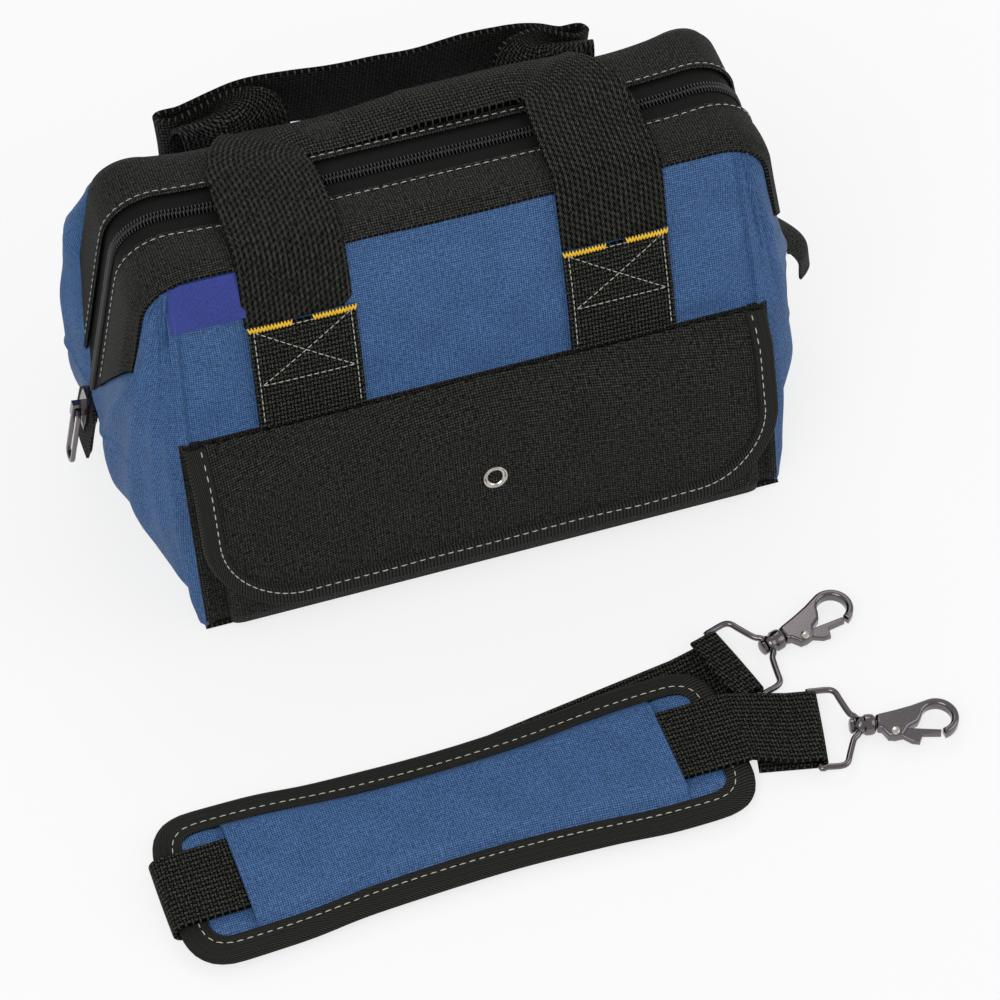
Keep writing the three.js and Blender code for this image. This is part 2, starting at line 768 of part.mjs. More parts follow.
// The front loop is laid over its profile, and its thickness goes away from the bag
function frontHandle() {
  const points = frontProfile.map(([y, z]) => new THREE.Vector3(0, y, z));
  const curve = new THREE.CatmullRomCurve3(points, false, 'centripetal');
  const length = curve.getLength();
  const half = handleSpacing / 2;
  const stations = [];
  const straight = handleLeg - handleCorner;
  for (let i = 0; i < 10; i++) {
    stations.push({ u: -half, v: straight * i / 10, a: 0 });
  }
  for (let i = 0; i <= 6; i++) {
    const a = Math.PI / 2 * i / 6;
    stations.push({
      u: -half + handleCorner * (1 - Math.cos(a)), v: straight + handleCorner * Math.sin(a), a,
    });
  }
  const mirrored = stations.map((s) => ({ u: -s.u, v: s.v, a: Math.PI - s.a })).reverse();
  const all = [...stations, ...mirrored];
  const normals = [];
  const grid = all.map((s) => [-1, -0.33, 0.33, 1].map((e) => {
    const across = e * webbing / 2;
    const at = profileAt(curve, length, s.v - across * Math.sin(s.a));
    normals.push(new THREE.Vector3(0, -at.run.z, at.run.y));
    return new THREE.Vector3(s.u + across * Math.cos(s.a), at.p.y, at.p.z);
  }));
  return sheet(grid, (p, i, j) => normals[4 * i + j].clone().multiplyScalar(webbingThickness));
}

const halfMouth = mouthDepth / 2;
const footY = wallY(handleFootHeight) + seamGap;
const overMouth = mouthHeight + handleClearance;

// Behind the mouth the front loop falls along the circle that the rear band's edge opens on
const drapeRadius = Math.hypot(halfMouth, mouthHeight - mouthHingeHeight) + drapeGap;
const draped = (y) => [y, mouthHingeHeight + Math.sqrt(drapeRadius * drapeRadius - y * y)];
const frontProfile = [
  [-footY, handleFootHeight], [-halfMouth - 2.4, mouthHeight - 5], [-halfMouth + 1, mouthHeight + 3.2],
  [-halfMouth + 8, overMouth - 0.9], [-halfMouth + 22, overMouth], [0, overMouth - 1],
  [halfMouth - 22, overMouth - 2.2], [halfMouth - 9, overMouth - 2.8], draped(halfMouth),
  draped(halfMouth + 9), draped(halfMouth + 20)];

// The rear loop has fallen back: each leg bows outward and twists until the webbing stands on edge behind
// the bag. A row is the middle of the webbing, out of the middle of its foot as shares of the spacing
// and of the reach, and then the way across the webbing from its inner edge to its outer one.
const rearRows = [
  [1, 0, 0, 1, 0, 0], [1.01, 0.18, 0.14, 1, 0, -0.08], [1.08, 0.43, 0.09, 0.88, 0.1, -0.46],
  [1.19, 0.6, -0.3, 0.5, 0.1, -0.86], [1.3, 0.63, -0.56, 0.12, 0.12, -0.98],
  [1.365, 0.76, -0.63, 0, 0.08, -1], [1.33, 0.97, -0.84, -0.08, 0.12, -0.99],
  [1.22, 1.06, -0.97, -0.05, 0.2, -0.97], [1.07, 1.02, -0.78, -0.02, 0.25, -0.97],
  [0.88, 0.95, -0.53, 0, 0.28, -0.96], [0.6, 0.89, -0.52, 0, 0.3, -0.95],
  [0.27, 0.86, -0.58, 0, 0.3, -0.95], [0, 0.86, -0.62, 0, 0.3, -0.95]];
const footLift = 0.6;
const stepsPerRow = 2;

function fallenHandle() {
  const place = ([x, y, z]) => new THREE.Vector3(
    x * handleSpacing / 2, footY + footLift + y * rearReach, handleFootHeight + z * rearReach);
  const mirror = ([x, y, z, a, b, c]) => [-x, y, z, -a, b, c];
  const rows = [...rearRows, ...rearRows.slice(0, -1).reverse().map(mirror)];
  const curve = new THREE.CatmullRomCurve3(rows.map(place), false, 'centripetal');
  const last = stepsPerRow * (rows.length - 1);
  const normals = [];
  const grid = [];
  for (let i = 0; i <= last; i++) {
    const row = Math.min(Math.floor(i / stepsPerRow), rows.length - 2);
    const first = new THREE.Vector3(...rows[row].slice(3));
    const second = new THREE.Vector3(...rows[row + 1].slice(3));
    const run = curve.getTangent(i / last);
    const across = first.lerp(second, i / stepsPerRow - row).normalize();
    const normal = run.clone().cross(across).normalize();
    const middle = curve.getPoint(i / last).addScaledVector(normal, -webbingThickness / 2);
    normals.push(normal);
    grid.push([-1, 0, 1].map((e) => middle.clone().addScaledVector(across, e * webbing / 2)));
  }
  return sheet(grid, (p, i) => normals[i].clone().multiplyScalar(webbingThickness));
}

piece(bag, 'front_handle', frontHandle(), 'webbing');
piece(bag, 'rear_handle', fallenHandle(), 'webbing');
for (const [group, name, flip] of [[frontUpperWall, 'front', 1], [rearUpperWall, 'rear', -1]]) {
  piece(group, `${name}_left_anchor`, anchor(-flip * handleSpacing / 2), 'webbing');
  piece(group, `${name}_right_anchor`, anchor(flip * handleSpacing / 2), 'webbing');
}
const labelFoot = upWall(mouthHeight) - labelDrop - labelHeight;
piece(frontUpperWall, 'blank_label', box(labelLeft, labelLeft + labelWidth, -seamGap - labelThickness,
  -seamGap, labelFoot, labelFoot + labelHeight), 'label');

// D-rings in webbing tabs on the rear wall; the group's -y points out of the wall

const ringInner = ringWire / 2 + 2 * seamGap;
const ringOut = seamGap + ringTabThickness + ringInner;

// A doubled strip round the ring's bar; points are (distance out of the wall, height up it)
function ringTab() {
  const inner = seamGap + ringTabThickness;
  const arc = [0, 1, 2, 3, 4, 5, 6, 7, 8].map((i) => {
    const a = Math.PI * i / 8;
    return [ringOut - ringInner * Math.cos(a), ringBarHeight - ringInner * Math.sin(a)];
  });
  const points = [[inner, ringTabTop], ...arc, [ringOut + ringInner, ringBarHeight + 2],
    [inner + seamGap, ringBarHeight + 12], [inner + seamGap, ringTabTop]];
  const outline = bentStrip(points.map(([out, height]) => [-out, height]), ringTabThickness);
  return alongX(plate(outline, ringTabWidth));
}

function dRing() {
  const w = ringWidth / 2;
  const shape = new THREE.Shape();
  shape.moveTo(-w, ringWire / 2);
  shape.lineTo(-w, 0);
  shape.absellipse(0, 0, w, ringDrop, Math.PI, 2 * Math.PI, false);
  shape.lineTo(w, ringWire / 2);
  const hole = new THREE.Path();
  const inner = w - ringWire;
  hole.moveTo(-inner, -ringWire / 2);
  hole.absellipse(0, -ringWire / 2, inner, ringDrop - 1.5 * ringWire, Math.PI, 2 * Math.PI, false);
  shape.holes.push(hole);
  const geometry = plate(shape, ringWire, 0.8, 12);
  return geometry.rotateX(Math.PI / 2).translate(0, -ringOut, ringBarHeight);
}

for (const [x, name] of [[ringSpacing / 2, 'left'], [-ringSpacing / 2, 'right']]) {
  piece(rearWall, `${name}_ring_tab`, ringTab().translate(x, 0, 0), 'webbing');
  piece(rearWall, `${name}_d_ring`, dRing().translate(x, 0, 0), 'gunmetal');
}

// Shoulder pad, in a group at its middle

const pad = new THREE.Group();
pad.position.set(padX, padY, strapLift);
pad.rotation.z = THREE.MathUtils.degToRad(padTurn);
bag.add(pad);

// The waisted outline of the pad, drawn in by an inset
function padOutline(inset) {
  const x = padLength / 2 - inset;
  const end = padEndWidth / 2 - inset;
  const waist = padWaistWidth / 2 - inset;
  const r = Math.max(padCorner - inset, 4);
  const shape = new THREE.Shape();
  shape.moveTo(-x, -end + r);
  shape.quadraticCurveTo(-x, -end, -x + r, -end);
  shape.bezierCurveTo(-x / 2, -end, -x / 2, -waist, 0, -waist);
  shape.bezierCurveTo(x / 2, -waist, x / 2, -end, x - r, -end);
  shape.quadraticCurveTo(x, -end, x, -end + r);
  shape.lineTo(x, end - r);
  shape.quadraticCurveTo(x, end, x - r, end);
  shape.bezierCurveTo(x / 2, end, x / 2, waist, 0, waist);
  shape.bezierCurveTo(-x / 2, waist, -x / 2, end, -x + r, end);
  shape.quadraticCurveTo(-x, end, -x, end - r);
  return shape;
}

function padCore() {
  const geometry = plate(padOutline(padBinding + seamGap), padThickness, 1.5, 8);
  return geometry.translate(0, 0, padThickness / 2);
}

function padEdge() {
  const outer = padOutline(0);
  outer.holes.push(padOutline(padBinding));
  const geometry = plate(outer, padBindingThickness, 0, 8);
  return geometry.translate(0, 0, padThickness / 2);
}

const strapTop = padThickness + seamGap;

// The blue cover strip over the webbing, sewn down along both of its long edges
function padSleeve() {
  const w = strapWebbing / 2 + sleeveRoom;
  const low = strapTop;
  const high = strapTop + strapThickness + seamGap;
  const skin = sleeveThickness;
  const outline = [
    [-w - sleeveHem, low], [-w, low], [-w, high], [w, high], [w, low], [w + sleeveHem, low],
    [w + sleeveHem, low + skin], [w + skin, low + skin], [w + skin, high + skin], [-w - skin, high + skin],
    [-w - skin, low + skin], [-w - sleeveHem, low + skin]];
  return alongX(plate(shapeOf(outline), sleeveLength));
}

piece(pad, 'shoulder_pad', padCore(), 'blue');
piece(pad, 'pad_binding', padEdge(), 'binding');
piece(pad, 'pad_sleeve', padSleeve(), 'blue');

// Snap hooks: a group at the bar of each, x towards the tip, lying flat

const hookPlaces = [
  { name: 'upper', x: upperHookX, y: upperHookY, turn: upperHookTurn },
  { name: 'lower', x: lowerHookX, y: lowerHookY, turn: lowerHookTurn },
];

function hookGroup(place) {
  const group = new THREE.Group();
  group.position.set(place.x, place.y, hookPlane);
  group.rotation.z = THREE.MathUtils.degToRad(place.turn);
  bag.add(group);
  return group;
}

const loopOuter = hookLoopWidth / 2;
const collarStart = hookLoopLength - hookWire;

// The wire loop for the webbing, with the collar that the hook swivels in
function hookLoop() {
  const end = hookLoopLength;
  const w = hookWire;
  const outer = [[-w / 2, loopOuter], [-w / 2, -loopOuter], [end - 11, -loopOuter],
    [end - 7, -loopOuter + 3], [end, -5], [end, 5], [end - 7, loopOuter - 3], [end - 11, loopOuter]];
  const hole = [[w / 2, loopOuter - w], [w / 2, -loopOuter + w], [end - 12, -loopOuter + w],
    [end - 9.4, -loopOuter + w + 1.8], [end - w, -4.4], [end - w, 4.4], [end - 9.4, loopOuter - w - 1.8],
    [end - 12, loopOuter - w]];
  const shape = shapeOf(outer);
  shape.holes.push(shapeOf(hole));
  const collar = cylinderX(barrelRadius, collarStart, collarStart + barrelLength);
  const bore = cylinderX(pinRadius + seamGap, collarStart - 5, collarStart + barrelLength + 5);
  return cut(join(plate(shape, w, 0.6), collar), bore);
}

const hookStart = collarStart + barrelLength + 0.4;
const ringX = hookLength - hookRing;

function hookBody() {
  const shape = new THREE.Shape();
  const inner = hookRing - hookRingWire;
  const tip = THREE.MathUtils.degToRad(-75);
  shape.moveTo(hookStart, -4.2);
  shape.lineTo(gatePivotX - 3, gatePivotY - 2.6);
  shape.lineTo(gatePivotX + 3, gatePivotY - 2.6);
  shape.lineTo(gatePivotX + 6.5, -4.2);
  shape.lineTo(ringX - 9, -2);
  shape.lineTo(ringX + inner * Math.cos(2.9), inner * Math.sin(2.9));
  shape.absarc(ringX, 0, inner, 2.9, tip, true);
  shape.absarc(ringX, 0, hookRing, tip, 1.87, false);
  shape.lineTo(hookStart, 4.4);
  const body = plate(shape, hookThickness, 0, 14);
  const neck = cylinderX(pinRadius, collarStart - 1.2, hookStart + 2);
  const head = cylinderX(pinRadius + 1.5, collarStart - 3, collarStart - 0.4);
  const slot = box(gatePivotX - 6, ringX - 6.2, gatePivotY - 9, 1.4, -gateThickness / 2 - seamGap,
    gateThickness / 2 + seamGap);
  const bore = cylinderZ(rivetRadius + seamGap, gatePivotX, gatePivotY, -hookThickness, hookThickness);
  return cut(join(body, neck, head), slot, bore);
}

function hookGate() {
  const tipX = ringX + 1.1;
  const outline = shapeOf([
    [gatePivotX - 2.6, gatePivotY + 1.6], [gatePivotX + 7.5, gatePivotY + 1.6], [tipX, -6.9],
    [tipX + 0.6, -9.4], [gatePivotX + 12.5, -8.6], [gatePivotX + 10.5, -12.8], [gatePivotX + 7, -12],
    [gatePivotX + 3, gatePivotY - 2.4], [gatePivotX - 2.6, gatePivotY - 1.8]]);
  const bore = cylinderZ(rivetRadius + seamGap, gatePivotX, gatePivotY, -gateThickness, gateThickness);
  return cut(plate(outline, gateThickness), bore);
}

function hookRivet() {
  const reach = hookThickness / 2 + seamGap;
  const shank = cylinderZ(rivetRadius, gatePivotX, gatePivotY, -reach - 0.4, reach + 0.4);
  const caps = [1, -1].map((s) => {
    const z = s * (reach + 0.3);
    return cylinderZ(rivetRadius + 0.8, gatePivotX, gatePivotY, z - 0.3, z + 0.3);
  });
  return join(shank, ...caps);
}

for (const place of hookPlaces) {
  const group = hookGroup(place);
  piece(group, `${place.name}_hook_loop`, hookLoop(), 'gunmetal');
  piece(group, `${place.name}_hook_body`, hookBody(), 'gunmetal');
  piece(group, `${place.name}_hook_gate`, hookGate(), 'gunmetal');
  piece(group, `${place.name}_hook_rivet`, hookRivet(), 'gunmetal');
}

// Strap webbing: from the upper hook under the pad, round a fold at its left end, over the pad
// through the sleeve, and down to the lower hook. Each end is doubled round its hook's bar.
// A station has a point on the inner face, the way across the webbing and the way its thickness goes.

const up = new THREE.Vector3(0, 0, 1);
const down = new THREE.Vector3(0, 0, -1);

function hookWrap(place, topLength, bottomLength) {
  const inner = hookWire / 2 + barGap;
  const turn = THREE.MathUtils.degToRad(place.turn);
  const along = new THREE.Vector3(Math.cos(turn), Math.sin(turn), 0);
  const across = new THREE.Vector3(-along.y, along.x, 0);
  const bar = new THREE.Vector3(place.x, place.y, hookPlane);
  const at = (x, n) => ({ p: bar.clone().addScaledVector(along, x).addScaledVector(n, inner), n, across });
  const arc = [0, 1, 2, 3, 4, 5, 6].map((i) => {
    const a = Math.PI / 2 - Math.PI * i / 6;
    return at(0, along.clone().multiplyScalar(Math.cos(a)).setZ(Math.sin(a)));
  });
  return [at(-topLength, up), at(-wrapLead, up), ...arc, at(-wrapLead, down), at(-bottomLength, down)];
}

function strapRun() {
  const foldX = foldInset - padLength / 2;
  const foldInner = (strapTop + seamGap) / 2;
  pad.updateWorldMatrix(true, false);
  const onPad = (x, z) => pad.localToWorld(new THREE.Vector3(x, 0, z));
  const padAcross = new THREE.Vector3(0, 1, 0).applyAxisAngle(up, pad.rotation.z);
  const start = hookWrap(hookPlaces[0], upperDoubled, upperDoubled);
  const end = hookWrap(hookPlaces[1], upperDoubled, lowerDoubled);
  const leave = start[start.length - 1];
  const fold = { p: onPad(foldX, -seamGap), n: down, across: padAcross };
  const under = [0.04, 0.2, 0.4, 0.6, 0.8, 1].map((t) => {
    const p = leave.p.clone().lerp(fold.p, t).setZ(fold.p.z);
    return { p, n: down, across: leave.across.clone().lerp(padAcross, t).normalize() };
  });
  const turn = [1, 2, 3, 4, 5, 6, 7].map((i) => {
    const a = -Math.PI / 2 - Math.PI * i / 8;
    const n = new THREE.Vector3(Math.cos(a), 0, Math.sin(a));
    const p = onPad(foldX + foldInner * n.x, foldInner - seamGap + foldInner * n.z);
    return { p, n: n.applyAxisAngle(up, pad.rotation.z), across: padAcross };
  });
  const over = [foldX, padLength / 2 + 1].map((x) => ({ p: onPad(x, strapTop), n: up, across: padAcross }));
  return [...start, ...under, ...turn, ...over, ...end];
}

function strapPiece() {
  const stations = strapRun();
  const grid = stations.map((s) => [-1, 1].map(
    (e) => s.p.clone().addScaledVector(s.across, e * strapWebbing / 2)));
  return sheet(grid, (p, i) => stations[i].n.clone().multiplyScalar(strapThickness));
}

piece(bag, 'strap_webbing', strapPiece(), 'webbing');

export default bag;
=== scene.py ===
# Zippered tool bag with a shoulder strap: the looks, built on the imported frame.
# Sizes are in millimetres here; toMetres and mm turn them into metres. +Z is up and -Y is the front.
import bpy
import json
from bisect import bisect_right
from math import acos, atan, ceil, cos, exp, hypot, pi, radians, sin, sqrt, tan
from mathutils import Matrix, Vector, noise


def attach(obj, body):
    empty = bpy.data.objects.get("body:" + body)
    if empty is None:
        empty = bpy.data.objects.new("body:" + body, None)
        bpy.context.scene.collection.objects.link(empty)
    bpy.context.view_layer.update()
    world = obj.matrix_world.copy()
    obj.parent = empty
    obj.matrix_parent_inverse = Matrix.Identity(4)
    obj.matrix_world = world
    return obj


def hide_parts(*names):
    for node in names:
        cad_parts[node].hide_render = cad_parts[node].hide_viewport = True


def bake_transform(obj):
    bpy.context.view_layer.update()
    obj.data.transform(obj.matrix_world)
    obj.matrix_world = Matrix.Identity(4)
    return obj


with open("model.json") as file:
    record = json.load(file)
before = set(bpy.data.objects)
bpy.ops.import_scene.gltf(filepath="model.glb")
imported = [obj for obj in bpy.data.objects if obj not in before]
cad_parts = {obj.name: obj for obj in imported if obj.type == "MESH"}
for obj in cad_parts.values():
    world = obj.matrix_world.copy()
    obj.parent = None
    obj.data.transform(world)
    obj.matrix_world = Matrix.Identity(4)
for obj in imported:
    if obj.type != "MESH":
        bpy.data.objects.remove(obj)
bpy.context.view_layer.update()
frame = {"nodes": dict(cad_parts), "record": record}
nodes = frame["nodes"]
print("frame loaded")

mm = 0.001

bag = {"baseDepth": 200, "seamHeight": 103, "seamDepth": 140, "mouthHeight": 186, "mouthDepth": 84}
mouth = {"cornerSpan": 296, "radius": 28, "endSpan": 344, "endHeight": 50, "hinge": 72, "taper": 130,
         "gap": 0.3}


# Camera, light and floor

def toMetres(p):
    return Vector(p) * mm


photoCamera = {"azimuth": -17.94, "elevation": 51.91, "distance": 2200, "target": (34.09, 0, -90.15),
               "focalPixels": 4350, "picturePixels": 1000, "sensor": 36}


def aim(thing, direction):
    thing.rotation_mode = "QUATERNION"
    thing.rotation_quaternion = direction.to_track_quat("-Z", "Y")


def addCamera():
    azimuth = radians(photoCamera["azimuth"])
    elevation = radians(photoCamera["elevation"])
    back = Vector((sin(azimuth) * cos(elevation), -cos(azimuth) * cos(elevation), sin(elevation)))
    place = Vector(photoCamera["target"]) + back * photoCamera["distance"]
    bpy.ops.object.camera_add(location=toMetres(place))
    camera = bpy.context.object
    aim(camera, -back)
    camera.data.sensor_width = photoCamera["sensor"]
    camera.data.lens = photoCamera["focalPixels"] * photoCamera["sensor"] / photoCamera["picturePixels"]
    camera.data.clip_start = 0.05
    camera.data.clip_end = 20
    bpy.context.scene.camera = camera


lamps = [
    {"name": "key", "place": (-0.9, -1.1, 1.7), "size": 1.3, "watts": 15},
    {"name": "fill", "place": (1.5, -0.7, 1.1), "size": 1.5, "watts": 7},
    {"name": "back", "place": (0.3, 1.5, 1.5), "size": 1.4, "watts": 9},
]


def addLamps():
    for lamp in lamps:
        bpy.ops.object.light_add(type="AREA", location=lamp["place"])
        light = bpy.context.object
        light.name = lamp["name"] + "Light"
        light.data.energy = lamp["watts"]
        light.data.shape = "DISK"
        light.data.size = lamp["size"]
        aim(light, -Vector(lamp["place"]))


# Materials

def linear(hexColour):
    parts = [int(hexColour[i:i + 2], 16) / 255 for i in (1, 3, 5)]
    return [c / 12.92 if c <= 0.04045 else ((c + 0.055) / 1.055) ** 2.4 for c in parts] + [1]


def fill(tree, node, inputs):
    # Inputs are values, or links to other sockets. The names i0, i1 and so on are numbers of sockets.
    for name, value in inputs.items():
        key = int(name[1:]) if name[0] == "i" and name[1:].isdigit() else name.replace("_", " ")
        if isinstance(value, bpy.types.NodeSocket):
            tree.links.new(value, node.inputs[key])
        else:
            node.inputs[key].default_value = value


def add(tree, kind, settings=None, **inputs):
    # Adds one node. Settings are its own fields.
    node = tree.nodes.new(kind)
    for field, value in (settings or {}).items():
        setattr(node, field, value)
    fill(tree, node, inputs)
    return node


def newMaterial(name):
    material = bpy.data.materials.new(name)
    material.use_nodes = True
    tree = material.node_tree
    tree.nodes.clear()
    shader = add(tree, "ShaderNodeBsdfPrincipled")
    add(tree, "ShaderNodeOutputMaterial", Surface=shader.outputs[0])
    return material, tree, shader


def maths(tree, operation, *values):
    inputs = {f"i{k}": value for k, value in enumerate(values)}
    return add(tree, "ShaderNodeMath", {"operation": operation}, **inputs).outputs[0]


def bumps(tree, height, strength, depth):
    # Relief of the surface, its depth in millimetres.
    return add(tree, "ShaderNodeBump", Height=height, Strength=strength, Distance=depth * mm).outputs[0]


def ramp(tree, height, first, last, *between):
    # Colours by a height from 0 to 1; each stop is (place, colour).
    node = add(tree, "ShaderNodeValToRGB", Fac=height)
    elements = node.color_ramp.elements
    for element, (place, colour) in zip(elements, (first, last)):
        element.position, element.color = place, linear(colour)
    for place, colour in between:
        elements.new(place).color = linear(colour)
    return node.outputs[0]


def yarnCounts(tree, pitches):
    # The UVs, and how many yarns lie along each of their axes.
    uv = add(tree, "ShaderNodeTexCoord").outputs["UV"]
    split = add(tree, "ShaderNodeSeparateXYZ", i0=uv)
    axes = zip(split.outputs, pitches)
    return uv, [maths(tree, "MULTIPLY", axis, 1 / (pitch * mm)) for axis, pitch in axes]


def roundYarn(tree, count):
    return maths(tree, "ABSOLUTE", maths(tree, "SINE", maths(tree, "MULTIPLY", count, pi)))


def weave(tree, pitches):
    # Height of a plain weave from 0 to 1: warp over weft and weft over warp, one yarn per pitch.
    uv, counts = yarnCounts(tree, pitches)
    cells = maths(tree, "ADD", *[maths(tree, "FLOOR", count) for count in counts])
    over = maths(tree, "PINGPONG", cells, 1.0)
    tops = []
    for count, above in zip(counts, (over, maths(tree, "SUBTRACT", 1.0, over))):
        raised = maths(tree, "MULTIPLY_ADD", above, 0.55, 0.45)
        tops.append(maths(tree, "MULTIPLY", roundYarn(tree, count), raised))
    return maths(tree, "MAXIMUM", *tops), uv


def wovenCloth(name, paintedShade, base, light, pitches, depth, roughness, gloss, fleck):
    # Coated polyester cloth: matte yarns, with a painted highlight where they rise and painted shade where
    # they dip under each other.
    material, tree, shader = newMaterial(name)
    height, uv = weave(tree, pitches)
    uneven = add(tree, "ShaderNodeTexNoise", Vector=uv, Scale=55.0, Detail=3.0, Roughness=0.6)
    slub = add(tree, "ShaderNodeTexNoise", Vector=uv, Scale=1 / (1.6 * mm), Detail=2.0, Roughness=0.7)
    worn = maths(tree, "MULTIPLY_ADD", uneven.outputs["Fac"], 0.5, 0.75)
    slubs = add(tree, "ShaderNodeMapRange", Value=slub.outputs["Fac"], From_Min=0.3, From_Max=0.7,
                To_Min=1 - fleck, To_Max=1 + fleck).outputs[0]
    shade = maths(tree, "MULTIPLY", worn, slubs)
    tint = add(tree, "ShaderNodeCombineColor", i0=shade, i1=shade, i2=shade)
    # The weave's height picks the colour: painted shade in the dips and a painted highlight on the yarn tops,
    # multiplied by a random uneven tone.
    colour = add(tree, "ShaderNodeMix", {"data_type": "RGBA", "blend_type": "MULTIPLY"}, i0=1.0,
                 i6=ramp(tree, height, (0.15, paintedShade), (0.95, light), (0.6, base)), i7=tint.outputs[0])
    fill(tree, shader, {"Base Color": colour.outputs[2], "Normal": bumps(tree, height, 0.8, depth),
                        "Roughness": roughness, "Specular IOR Level": gloss})
    return material


def ribbed(name, paintedShade, light, pitch, depth, roughness):
    # Narrow woven tape: ribs run across it, one about every pitch along it.
    material, tree, shader = newMaterial(name)
    along, across = yarnCounts(tree, (pitch, pitch * 1.6))[1]
    ribs = maths(tree, "MULTIPLY", roundYarn(tree, along), 0.88)
    height = maths(tree, "MULTIPLY_ADD", roundYarn(tree, across), 0.12, ribs)
    # The ribs' height picks the colour: painted shade between the ribs and a painted highlight on their tops.
    fill(tree, shader, {"Base Color": ramp(tree, height, (0.2, paintedShade), (0.95, light)),
                        "Normal": bumps(tree, height, 0.9, depth),
                        "Roughness": roughness, "Specular IOR Level": 0.12})
    return material


def grainOf(tree, scale, detail):
    place = add(tree, "ShaderNodeTexCoord").outputs["Object"]
    return add(tree, "ShaderNodeTexNoise", Vector=place, Scale=scale, Detail=detail).outputs["Fac"]


def metal(name, colour, roughness, grain):
    # Plated die-cast zinc or steel: mirror-like with faint tumbling marks.
    material, tree, shader = newMaterial(name)
    marks = grainOf(tree, 900.0, 4.0)
    rough = add(tree, "ShaderNodeMapRange", Value=marks, To_Min=roughness * 0.8, To_Max=roughness * 1.3)
    fill(tree, shader, {"Base Color": linear(colour), "Metallic": 1.0, "Roughness": rough.outputs[0],
                        "Normal": bumps(tree, marks, grain, 0.05)})
    return material


def smooth(name, colour, roughness):
    # Moulded nylon or plain sewing thread: one colour with a faint uneven surface.
    material, tree, shader = newMaterial(name)
    grain = grainOf(tree, 400.0, 3.0)
    value = add(tree, "ShaderNodeMapRange", Value=grain, To_Min=0.75, To_Max=1.25).outputs[0]
    bright = add(tree, "ShaderNodeHueSaturation", Color=linear(colour), Value=value)
    fill(tree, shader, {"Base Color": bright.outputs[0], "Roughness": roughness,
                        "Normal": bumps(tree, grain, 0.2, 0.1)})
    return material


# 600 denier polyester has yarns about 0.5 mm apart; they are drawn wider so that the render shows them.
# For the woven cloths, the tapes and the label below, the first colour is painted shade in the dips of the
# weave and the last is a painted highlight on the yarn and rib tops.
blueCloth = wovenCloth("bluePolyester", "#12284a", "#274876", "#4f76a8", (1.1, 1.1), 0.22, 0.62, 0.3, 0.45)
blackCloth = wovenCloth("blackPolyester", "#000000", "#080808", "#3b3b38", (1.3, 1.3), 0.3, 0.7, 0.1, 1.0)
blackWebbing = wovenCloth("blackWebbing", "#000000", "#020202", "#3a3a35", (1.7, 2.4), 0.6, 0.66, 0.06, 1.0)
bindingTape = ribbed("bindingTape", "#010101", "#31312d", 1.7, 0.3, 0.7)
zipTape = ribbed("zipTape", "#050505", "#1a1a19", 0.9, 0.12, 0.75)
zipNylon = smooth("mouldedNylonCoil", "#242424", 0.24)
gunmetal = metal("gunmetalPlating", "#716b6e", 0.15, 0.12)
nickel = metal("brightNickelPlating", "#cfcac0", 0.22, 0.1)
steelWire = metal("blackenedSpringSteel", "#141414", 0.55, 0.3)
greyThread = smooth("greyPolyesterThread", "#b9b9b0", 0.6)
creamThread = smooth("creamPolyesterThread", "#c9c6b2", 0.6)
yellowThread = smooth("yellowBartackThread", "#f0bf20", 0.55)
labelCloth = wovenCloth("wovenSatinLabel", "#1b2360", "#232f78", "#3c4ca4", (0.6, 0.6), 0.06, 0.45, 0.35, 0.2)
boardPlastic = smooth("pressedBoard", "#2b2b2b", 0.6)

slotMaterials = {
    "blue_cloth": blueCloth, "black_cloth": blackCloth, "black_webbing": blackWebbing,
    "binding_tape": bindingTape, "zip_tape": zipTape, "zip_chain": zipNylon, "gunmetal": gunmetal,
    "bright_ring": nickel, "frame_wire": steelWire, "board": boardPlastic, "label_cloth": labelCloth,
}
for part in frame["record"]["subparts"]:
    mesh = nodes[part["node"]].data
    mesh.materials.clear()
    mesh.materials.append(slotMaterials[part["material_slot"]])
print("materials made")


# Shapes that several pieces share

lowerLean = atan((bag["baseDepth"] - bag["seamDepth"]) / 2 / bag["seamHeight"])
upperLean = atan((bag["seamDepth"] - bag["mouthDepth"]) / 2 / (bag["mouthHeight"] - bag["seamHeight"]))
legLean = atan((mouth["endSpan"] - mouth["cornerSpan"]) / 2 / (bag["mouthHeight"] - mouth["endHeight"]))
cornerTurn = pi / 2 - legLean
topHalf = mouth["cornerSpan"] / 2 - mouth["radius"] * tan(cornerTurn / 2)
cornerEnd = topHalf + mouth["radius"] * cornerTurn
taperSlope = (mouth["taper"] - mouth["hinge"]) / (bag["mouthDepth"] / 2)


def lerp(a, b, t):
    return a + (b - a) * t


def clamp(v, low=0.0, high=1.0):
    return max(low, min(high, v))


def ease(t):
    t = clamp(t)
    return t * t * (3 - 2 * t)


def table(rows, at, curve=ease):
    # Reads a value between rows of (place, value): smoothly, or in straight lines with clamp as the curve.
    if at <= rows[0][0]:
        return rows[0][1]
    for (a, p), (b, q) in zip(rows, rows[1:]):
        if at <= b:
            return lerp(p, q, curve((at - a) / (b - a)))
    return rows[-1][1]


wallRows = [(0, bag["baseDepth"] / 2), (bag["seamHeight"], bag["seamDepth"] / 2),
            (bag["mouthHeight"], bag["mouthDepth"] / 2)]


def wallY(z):
    return table(wallRows, z, clamp)


def outOf(side, lean):
    # The way out of a wall that leans.
    return Vector((0, side * cos(lean), sin(lean)))


